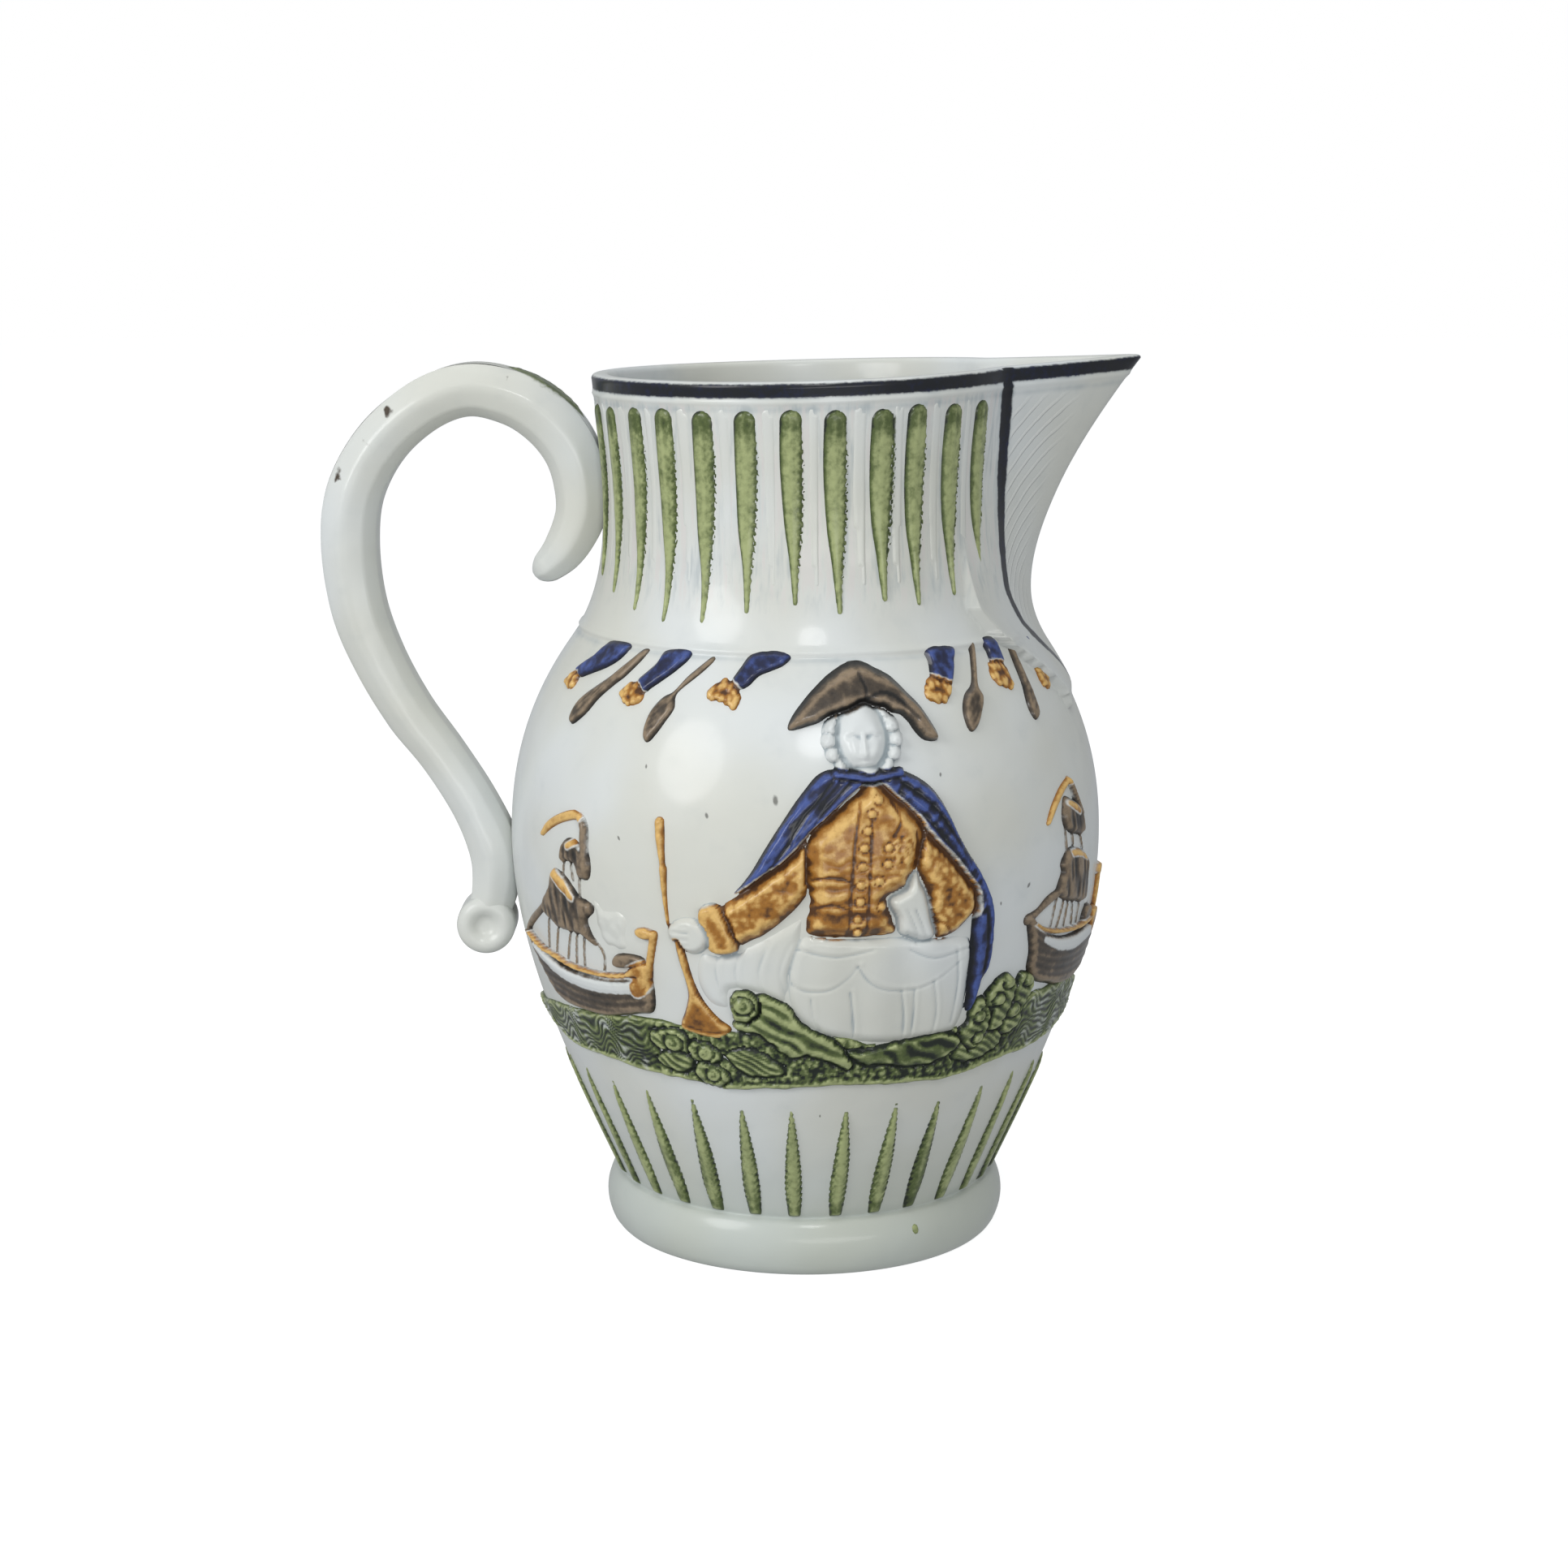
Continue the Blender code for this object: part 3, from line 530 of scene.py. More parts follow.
    # iron specks from the kiln: small ones at random, and the larger ones where they sit on the real jug
    scatter = {"Vector": place, "Scale": 1000 / glaze["speckSpacing"]}
    spots = addNode(tree, "ShaderNodeTexVoronoi", scatter, "Distance")
    cells = addNode(tree, "ShaderNodeTexVoronoi", scatter, "Color")
    cells = addNode(tree, "ShaderNodeSeparateColor", {0: cells})
    chosen = addNode(tree, span, {"Value": cells, "From Min": 0.86, "From Max": 0.9})
    speck = addNode(tree, span, {"Value": spots, "From Min": 0.035, "From Max": 0.015})
    speck = addNode(tree, sums, {0: speck, 1: chosen}, operation="MULTIPLY")
    for across, up, size, lean in glaze["specks"] if onBody else ():
        angle, radius = across / moulding["friezeRadius"], float(wallRadius(up)) / 1000
        middleAt = (radius * math.sin(angle), -radius * math.cos(angle), up / 1000)
        spot = addNode(tree, "ShaderNodeMapping", {"Vector": place, "Location": [-value for value in middleAt]})
        spot = addNode(tree, "ShaderNodeMapping", {"Vector": spot, "Rotation": (0.0, lean, 0.0)})
        spot = addNode(tree, "ShaderNodeMapping", {"Vector": spot, "Scale": (1.9, 1.0, 0.9)})
        spot = addNode(tree, "ShaderNodeVectorMath", {0: spot}, "Value", operation="LENGTH")
        spot = addNode(tree, sums, {0: fine, 1: -0.0011 * size, 2: spot}, operation="MULTIPLY_ADD")
        spot = addNode(tree, span, {"Value": spot, "From Min": 0.0006 * size, "From Max": 0.0, "To Max": 0.8})
        speck = addNode(tree, sums, {0: speck, 1: spot}, operation="MAXIMUM")
    speck = addNode(tree, sums, {0: speck, 1: 0.85}, operation="MULTIPLY")
    colour = addNode(tree, mix, {0: speck, 6: colour, 7: linear(glaze["speck"])}, 2, data_type="RGBA")
    # orange peel of the glaze and slow unevenness of the pressing, heights in millimetres
    peel = addNode(tree, noise, {"Vector": place, "Scale": 1000 / glaze["peel"], "Detail": 2.0})
    uneven = addNode(tree, noise, {"Vector": place, "Scale": 1000 / glaze["pressing"], "Detail": 1.0})
    relief = addNode(tree, sums, {0: peel, 1: 0.012}, operation="MULTIPLY")
    relief = addNode(tree, sums, {0: uneven, 1: 0.22, 2: relief}, operation="MULTIPLY_ADD")
    if onBody:
        # fine combed lines pressed into the spout's cheeks
        comb = addNode(tree, "ShaderNodeAttribute", out="Fac", attribute_name="comb")
        comb = addNode(tree, sums, {0: middle, 1: 0.9, 2: comb}, operation="MULTIPLY_ADD")
        comb = addNode(tree, sums, {0: comb, 1: 2 * math.pi / glaze["combSpacing"]}, operation="MULTIPLY")
        comb = addNode(tree, sums, {0: comb}, operation="SINE")
        comb = addNode(tree, span, {"Value": comb, "From Min": 0.45, "From Max": 1.0}, interpolation_type=smooth)
        mask = addNode(tree, "ShaderNodeAttribute", out="Fac", attribute_name="combMask")
        comb = addNode(tree, sums, {0: comb, 1: mask}, operation="MULTIPLY")
        relief = addNode(tree, sums, {0: comb, 1: 0.14, 2: relief}, operation="MULTIPLY_ADD")
        # the combed ridges are also painted lighter, a painted highlight
        share = addNode(tree, sums, {0: comb, 1: 0.22}, operation="MULTIPLY")
        colour = addNode(tree, mix, {0: share, 6: colour, 7: linear(glaze["combLit"])}, 2, data_type="RGBA")
    bump = addNode(tree, "ShaderNodeBump", {"Strength": 1.0, "Distance": 0.001, "Height": relief})
    rough = addNode(tree, span, {"Value": middle, "From Min": 0.3, "From Max": 0.7, "To Min": 0.28, "To Max": 0.42})
    shader = addNode(tree, "ShaderNodeBsdfPrincipled", {
        "Base Color": colour, "Roughness": rough, "Normal": bump, "IOR": 1.5, "Specular IOR Level": 0.18,
        "Coat Weight": 0.28, "Coat Roughness": 0.12, "Coat IOR": 1.5})
    addNode(tree, "ShaderNodeOutputMaterial", {"Surface": shader})
    return material


bodyGlaze = glazeMaterial("pearlGlazedEarthenware", onBody=True)
reliefGlaze = glazeMaterial("paintedReliefUnderGlaze")
print("materials made")


def bodyProfile():
    # half section as (radius, height): out along the base, up the outside, over the lip and down the inside
    foot, wall, lip, rim = turned["footHeight"], turned["wall"], turned["lipRound"], turned["rimHeight"]
    points = [(0.0, 0.0), (20.0, 0.0), (33.2, 0.0), (33.95, 0.12), (34.35, 0.5)]
    points += [(float(wallRadius(z)), z) for z in np.linspace(1.2, foot - 0.6, 12)]
    points += [(34.25, foot - 0.25), (33.9, foot), (33.45, foot + 0.15), (33.32, foot + 0.35)]
    rows = [np.arange(foot + 0.7, 95.0, 1.8), np.arange(95.0, 127.0, 0.7), np.arange(127.0, 145.0, 1.5),
            np.arange(106.8, 109.8, 0.3), np.arange(146.0, rim - lip, 0.3)]
    outer = np.unique(np.round(np.concatenate(rows), 3))
    outer = outer[np.concatenate([[True], np.diff(outer) > 0.15])]
    points += [(float(wallRadius(z)), float(z)) for z in outer]
    top = float(wallRadius(rim))
    for step in range(1, 6):
        turn = math.radians(18 * step)
        points.append((top - lip + lip * math.cos(turn), rim - lip + lip * math.sin(turn)))
    for step in range(0, 5):
        turn = math.radians(18 * step)
        points.append((top - wall + lip - lip * math.sin(turn), rim - lip + lip * math.cos(turn)))
    low = turned["floor"] + turned["floorFillet"]
    points += [(float(wallRadius(z)) - wall, float(z)) for z in np.arange(rim - lip, low, -3.0)]
    edge = float(wallRadius(low)) - wall - turned["floorFillet"]
    for step in range(0, 7):
        turn = math.radians(90 - 15 * step)
        rise = turned["floorFillet"] * (1 - math.cos(turn))
        points.append((edge + turned["floorFillet"] * math.sin(turn), turned["floor"] + rise))
    points += [(edge * 0.5, turned["floor"]), (0.0, turned["floor"])]
    return points


def makeBody():
    form = bmesh.new()
    verts = [form.verts.new((r, 0.0, z)) for r, z in bodyProfile()]
    edges = [form.edges.new(pair) for pair in zip(verts, verts[1:])]
    bmesh.ops.spin(form, geom=verts + edges, cent=(0, 0, 0), axis=(0, 0, 1), angle=math.tau,
                   steps=turned["steps"], use_merge=True)
    bmesh.ops.remove_doubles(form, verts=form.verts, dist=0.004)
    bmesh.ops.recalc_face_normals(form, faces=form.faces)
    mesh = meshFrom("jugBody", form)
    x, y, z = pointsOf(mesh).T.copy()
    radius, turn = np.hypot(x, y), np.arctan2(y, x)
    inset = np.clip(wallRadius(z) - radius, 0.0, turned["wall"])
    outside = (wallRadius(z) - radius < 0.6) & (z > 0.6)
    cheek = cheekRadius(turn, z, inset)
    # the crease beside the spout is soft at the shoulder and crisper towards the rim
    roundness = np.interp(z, spout["creaseHeights"], spout["creaseRounds"])
    blend = np.maximum(roundness - np.abs(radius - cheek), 0.0) / roundness
    fade = ease((z - spout["rootHeight"]) / 3.0) * ease((0.72 - np.abs(turn)) / 0.1)
    shaped = np.maximum(radius, cheek) + blend**2 * roundness / 4 * fade
    # thin moulded lines on the shoulder and under the painted rim, fading at the spout
    clear = ease((np.abs(turn) - 0.42) / 0.12)
    shaped += outside * 0.34 * bell(z, turned["shoulderLine"], 0.42) * clear
    shaped += outside * 0.22 * bell(z, turned["rimLine"], 0.4)
    shaped -= outside * 0.12 * bell(z, turned["shoulderGroove"], 0.5) * clear
    # hand-finished walls are never quite true
    shaped += np.where(z > 1.0, 0.12 * (softNoise(turn * 50, z, 21.0, 3) - 0.5), 0.0)
    angle = np.degrees(np.abs(turn))
    lineAngle = np.interp(z, spout["lineHeights"], spout["lineAngles"])
    slope = np.interp(z + 0.5, spout["lineHeights"], spout["lineAngles"]) - np.interp(
        z - 0.5, spout["lineHeights"], spout["lineAngles"])
    lean = np.hypot(1.0, np.radians(slope) * radius)
    lineSide = np.radians(angle - lineAngle) * shaped / lean
    low = np.hypot(np.radians(angle) * radius, np.minimum(z - spout["lineHeights"][0], 0.0))
    lineSide = np.where(z < spout["lineHeights"][0], low, lineSide)
    waver = 0.35 * (softNoise(z, turn * 0 + np.sign(y), 1.6, 8) - 0.5)
    lineHalf = np.interp(z, spout["widthHeights"], spout["halfWidths"]) + waver
    lineHalf = np.where(outside & (z > 96), lineHalf, -1.0)
    band = np.minimum(z - turned["rimBand"][0], turned["rimBand"][1] - z)
    blue = np.where(outside, band, -2.0)
    inward = np.radians(lineAngle - angle) * radius
    comb = z - 1.15 * inward
    cheekWidth = np.radians(lineAngle) * radius
    fade = ease((inward - 1.0) / 1.0) * ease((0.8 * cheekWidth - inward) / 4.0)
    combMask = np.where(outside, fade * ease((z - 106) / 6) * ease((147.0 - z) / 3), 0.0)
    # paint is thickest, nearly black, in the painted band and line
    thick = np.clip(np.maximum(band, lineHalf - np.abs(lineSide)) + 0.6, 0.0, 1.0)
    neck = ease((z - 112) / 8) * ease(148.2 - z) * ease((np.abs(turn) - 0.40) / 0.06)
    neck = np.where(outside, neck, 0.0)
    # just under the rim line and the shoulder line, just above the foot, and on the neck ground, the glaze is painted
    # a little darker blue-grey
    under = bell(z, turned["rimHollow"], 0.6) + bell(z, turned["shoulderHollow"], 0.5) * clear
    tone = np.where(outside, -0.75 * thick - 0.5 * under - 0.12 * neck, -0.05)
    tone -= np.where(outside, 0.6 * bell(z, turned["footHollow"], 0.5), 0.0)
    x, y = shaped * np.cos(turn), shaped * np.sin(turn)
    placePoints(mesh, x, y, z + rimRise(x, z))
    for pigment in pigments:
        addPoints(mesh, pigment, blue if pigment == "blue" else np.full(len(z), -2.0))
    for key, values in (("tone", tone), ("lineSide", lineSide), ("lineHalf", lineHalf), ("comb", comb),
                        ("combMask", combMask), ("neck", neck)):
        addPoints(mesh, key, values)
    setShade(mesh)
    piece = addPiece("jugBody", mesh, bodyGlaze)
    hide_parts("jug")
    print("jugBody triangles", sum(len(p.vertices) - 2 for p in mesh.polygons))


makeBody()

neckBorder = {
    "radius": 36.0,
    "cell": 0.327,
    # centres in degrees from the front, as the mould spaced them, and the height of each leaf's point
    "leaves": ((-75.9, 117.6), (-64.2, 115.6), (-51.4, 113.6), (-40.4, 112.4), (-28.1, 112.8), (-16.2, 114.6),
               (-4.2, 116.0), (7.2, 114.6), (19.7, 116.4), (29.6, 115.4), (41.5, 116.4), (52.9, 117.2)),
    "top": 147.0,
    "halfWidth": 2.0,
    "lift": 0.5,
    "barb": 1.55,
}
footBorder = {"radius": 35.0, "cell": 0.32, "first": -3.2, "count": 31, "low": 10.4, "top": 33.6,
              "halfWidth": 1.6, "lift": 0.6, "barb": 1.2, "drip": (19.6, 6.9)}
shift = np.random.default_rng(11)


def neckLeaf(field, centre, top, low, half, shade):
    length = top - low
    lean = shift.uniform(-0.2, 0.2)
    spine = ((centre, top - half, half * 0.95), (centre + 0.05, top - 0.3 * length, half),
             (centre + 0.2 + lean, top - 0.58 * length, half * 0.84),
             (centre + 0.4 + lean, top - 0.78 * length, half * 0.48),
             (centre + 0.6 + lean, top - length, half * 0.2))
    form = stroke(field, spine, 26)
    down, out = form["along"] * form["length"], form["side"] * form["half"]
    right = form["side"] > 0
    # long thin barbs leave the right edge, running down and outwards; the left edge is plain
    beat = (down - 1.9 * out) / neckBorder["barb"] + 0.25 * softNoise(down, out * 0, 3.0, 5)
    barb = (0.5 + 0.5 * np.cos(2 * math.pi * beat)) ** 2
    reach = ease((form["along"] - 0.06) / 0.14) * ease((0.93 - form["along"]) / 0.2)
    form["signed"] = form["signed"] - np.where(right, (0.75 * barb - 0.3) * reach, 0.0)
    swell(field, form, neckBorder["lift"], 0.9)
    paint(field, form, "green", 0.25)
    # the raised rib is painted lighter as a highlight; the left edge, the ends and the barbs are painted darker
    rib = bell(out, -0.15, 0.42)
    height = 0.1 * rib - np.where(right, 0.2, 0.05) * (1 - barb) * ease(form["side"])
    edge = ease((-form["side"] - 0.45) / 0.4)
    tip = ease(1 - form["along"] / 0.13) + 0.7 * ease((form["along"] - 0.9) / 0.1)
    ticks = barb * ease((form["side"] - 0.35) / 0.4) * reach
    carve(field, form, height, shade + 0.3 + 0.3 * rib - 0.8 * edge - 0.8 * tip - 1.1 * ticks)


def makeNeckBorder():
    radius = neckBorder["radius"]
    left, right = math.radians(-236) * radius, math.radians(57) * radius
    field = newField(left, right, 111.6, 148.2, neckBorder["cell"], radius)
    for front, low in neckBorder["leaves"]:
        shade = 0.1 + 0.35 * (front + 76) / 130
        for angle in (front, -180 - front):
            centre = math.radians(angle) * radius
            top = neckBorder["top"] + shift.uniform(-0.3, 0.25)
            # faint reeds stand between the leaves
            for off, start, end in ((-3.9, 146.6, 122.0), (-3.2, 145.8, 119.0), (3.3, 146.4, 128.0)):
                reed = stroke(field, ((centre + off, start, 0.4), (centre + off + 0.3, end, 0.3)), 6)
                swell(field, reed, 0.1, 0.4)
            neckLeaf(field, centre, top, low, neckBorder["halfWidth"] * shift.uniform(0.94, 1.06), shade)
    makeRelief("neckLeaves", finishField(field))


def footLeaf(field, centre, low, top, half, shade):
    length = top - low
    lean = shift.uniform(-0.2, 0.2)
    spine = ((centre, low + 0.5, half * 0.72), (centre, low + 0.22 * length, half),
             (centre + lean, low + 0.5 * length, half * 0.86), (centre + lean, low + 0.78 * length, half * 0.5),
             (centre + lean, top - 0.3, half * 0.12))
    form = stroke(field, spine, 24)
    up, out = form["along"] * form["length"], np.abs(form["side"]) * form["half"]
    beat = (up - 1.5 * out) / footBorder["barb"] + 0.3 * softNoise(up, form["side"] * 2, 2.5, 9)
    notch = 0.5 - 0.5 * np.cos(2 * math.pi * beat)
    reach = ease((np.abs(form["side"]) - 0.15) / 0.7) * ease(form["along"] / 0.15)
    form["signed"] = np.maximum(form["signed"] + 0.34 * notch**2 * reach, low - field["up"][form["window"]])
    swell(field, form, footBorder["lift"], 0.8)
    paint(field, form, "green", 0.2)
    # the raised rib is painted lighter as a highlight and the notched hollows darker as shade; the ends and edges are
    # painted darker too
    rib = bell(out, 0.0, 0.4)
    tip = ease((form["along"] - 0.8) / 0.2) + 1.1 * ease(1 - form["along"] / 0.16)
    edge = ease((np.abs(form["side"]) - 0.55) / 0.4)
    stain = shade + 0.35 * rib - 0.8 * tip - 0.45 * edge - 0.5 * notch * reach
    carve(field, form, 0.1 * rib - 0.2 * notch * reach, stain)


def makeFootBorder():
    radius = footBorder["radius"]
    left, right = math.radians(-183.2) * radius, math.radians(176.8) * radius
    field = newField(left, right, 5.2, 34.6, footBorder["cell"], radius)
    for k in range(footBorder["count"]):
        angle = (footBorder["first"] + 360 * k / footBorder["count"] + 183.2) % 360 - 183.2
        centre = math.radians(angle) * radius + shift.uniform(-0.12, 0.12)
        # one leaf is painted darker than the rest, and its green has run down over the foot
        dark = abs(centre - footBorder["drip"][0]) < 2.0
        footLeaf(field, centre, footBorder["low"], footBorder["top"] + shift.uniform(-1.2, 0.4),
                 footBorder["halfWidth"] * shift.uniform(0.92, 1.05), -0.45 if dark else shift.uniform(0.05, 0.35))
    drip = oval(field, *footBorder["drip"], 0.75, 1.05, 8)
    swell(field, drip, 0.16, 0.6)
    paint(field, drip, "green", 0.1)
    makeRelief("footLeaves", finishField(field))


makeNeckBorder()
makeFootBorder()
print("leaf borders made")

tassels = {
    "box": (-62.0, 62.0, 93.0, 109.6),
    "cell": 0.28,
    "coarser": 1.25,
    # outline of each bound tassel's blue cord, then of its ochre tuft
    "bound": (
        (((-48.9, 107.9), (-43.5, 108.4), (-41.2, 107.8), (-42.6, 105.6), (-45.6, 103.9), (-49.5, 102.6),
          (-52.8, 101.6), (-56.6, 101.8), (-55.3, 103.7), (-52.0, 105.6)),
         ((-58.4, 100.6), (-57.2, 102.1), (-54.0, 102.0), (-53.2, 100.7), (-54.3, 99.6), (-56.6, 99.7))),
        (((-31.4, 107.6), (-27.6, 108.5), (-25.0, 108.2), (-24.8, 106.9), (-26.6, 105.2), (-29.1, 103.4),
          (-31.3, 101.9), (-32.6, 100.9), (-33.8, 101.5), (-35.6, 102.6), (-34.2, 104.1), (-32.4, 105.8)),
         ((-38.6, 100.5), (-37.7, 102.0), (-35.6, 102.7), (-33.2, 101.4), (-32.2, 100.3), (-33.4, 99.4),
          (-35.0, 98.9), (-37.3, 99.5))),
        (((-12.4, 107.3), (-10.9, 108.5), (-7.5, 108.9), (-4.4, 108.7), (-3.3, 107.8), (-4.6, 106.5), (-7.2, 105.6),
          (-9.6, 104.7), (-11.2, 103.3), (-12.9, 102.7), (-15.1, 103.3), (-13.7, 105.7)),
         ((-19.2, 102.0), (-17.6, 103.6), (-15.6, 104.3), (-13.8, 103.2), (-12.8, 102.5), (-12.3, 101.4),
          (-13.0, 99.6), (-14.9, 100.4), (-16.4, 100.9), (-18.4, 101.1))),
        (((26.0, 108.6), (32.8, 108.4), (31.6, 105.7), (29.8, 103.2), (28.8, 102.5), (26.7, 103.1), (25.0, 103.8),
          (25.5, 106.1)),
         ((24.2, 104.0), (26.7, 103.6), (29.1, 102.6), (28.0, 101.0), (26.2, 100.0), (24.2, 100.4), (22.7, 101.2))),
        (((42.0, 108.9), (45.6, 108.9), (46.3, 107.6), (45.8, 104.8), (44.4, 103.9), (41.7, 104.7), (41.8, 107.1)),
         ((40.9, 105.0), (44.0, 105.0), (45.7, 103.9), (44.6, 100.8), (41.7, 101.2), (40.1, 102.3), (39.9, 103.5))),
        (((54.8, 108.6), (59.8, 108.4), (61.0, 106.0), (60.6, 103.0), (57.4, 102.6), (57.0, 105.0)),
         ((56.8, 103.1), (60.6, 102.8), (58.4, 99.4), (55.8, 99.8), (55.6, 101.6))),
    ),
    # outline of each brush that hangs between the tassels
    "brush": (
        ((-37.3, 107.4), (-35.6, 107.2), (-38.6, 103.5), (-41.6, 101.1), (-43.8, 99.0), (-45.3, 96.9), (-47.0, 95.4),
         (-48.6, 94.5), (-49.9, 95.2), (-50.0, 97.0), (-48.9, 99.0), (-46.3, 100.8), (-43.2, 102.8), (-40.3, 105.2)),
        ((-19.9, 107.3), (-19.2, 106.8), (-21.9, 104.4), (-24.7, 102.2), (-25.4, 101.0), (-25.0, 99.3), (-26.1, 97.3),
         (-27.4, 95.2), (-28.8, 93.8), (-30.0, 94.6), (-30.3, 96.4), (-29.8, 98.7), (-28.1, 100.8), (-26.2, 101.8),
         (-24.1, 104.2), (-21.9, 106.0)),
        ((37.8, 108.4), (39.0, 108.3), (37.3, 105.3), (35.3, 102.2), (35.6, 100.4), (33.8, 97.9), (32.0, 96.0),
         (30.3, 95.3), (29.6, 96.6), (29.8, 98.9), (31.3, 101.0), (33.8, 102.5), (35.8, 105.4)),
        ((50.7, 107.9), (52.3, 107.9), (51.0, 104.6), (50.4, 101.3), (50.1, 99.0), (49.3, 96.2), (47.6, 95.3),
         (46.7, 96.6), (46.8, 98.5), (47.9, 101.0), (48.8, 104.2)),
    ),
}


def makeTassels(name, turn, plain):
    field = friezeField(tassels, tassels["box"], plain)
    a, z = field["across"], field["up"]
    for cord, tuft in tassels["bound"]:
        form = outline(field, cord)
        window = form["window"]
        swell(field, form, 0.95, 1.2)
        paint(field, form, "blue")
        # each cord is painted lighter along streaks away from its edge, as highlights, and darker at its edge as
        # shade
        streak = softNoise(a[window] + z[window], z[window] - a[window], 1.5, 14)
        carve(field, form, 0.14 * (streak - 0.5), 1.125 * ease(-form["signed"] / 1.1 - 0.5) * streak - 0.5)
        # a loose twisted tuft below the binding
        form = outline(field, tuft)
        window = form["window"]
        crumple = pebbleNoise(a[window], z[window], 1.15, 5)
        form["signed"] = form["signed"] + 0.35 * (crumple - 0.5)
        swell(field, form, 0.85, 0.8, 0.7)
        paint(field, form, "ochre")
        # the tuft's hollows are painted darker as shade and its crests lighter as highlights
        carve(field, form, -0.32 * crumple, 0.75 - 1.35 * crumple)
    for brush in tassels["brush"] if not plain else ():
        form = outline(field, brush)
        window = form["window"]
        swell(field, form, 0.8, 1.0)
        paint(field, form, "brown")
        hairs = softNoise((a[window] - z[window]) * 1.8, (a[window] + z[window]) * 0.4, 0.8, 3)
        # each brush is painted lighter along its hairs away from its edge, as highlight, darker at its edge as shade,
        # and darker towards its lower end
        lowerEnd = ease((97.5 - z[window]) / 3.0)
        stain = 0.9 * ease(-form["signed"] / 1.1) * hairs - 0.35 - 0.5 * lowerEnd
        carve(field, form, 0.1 * (hairs - 0.5), stain)
    makeRelief(name, finishField(field), turn)


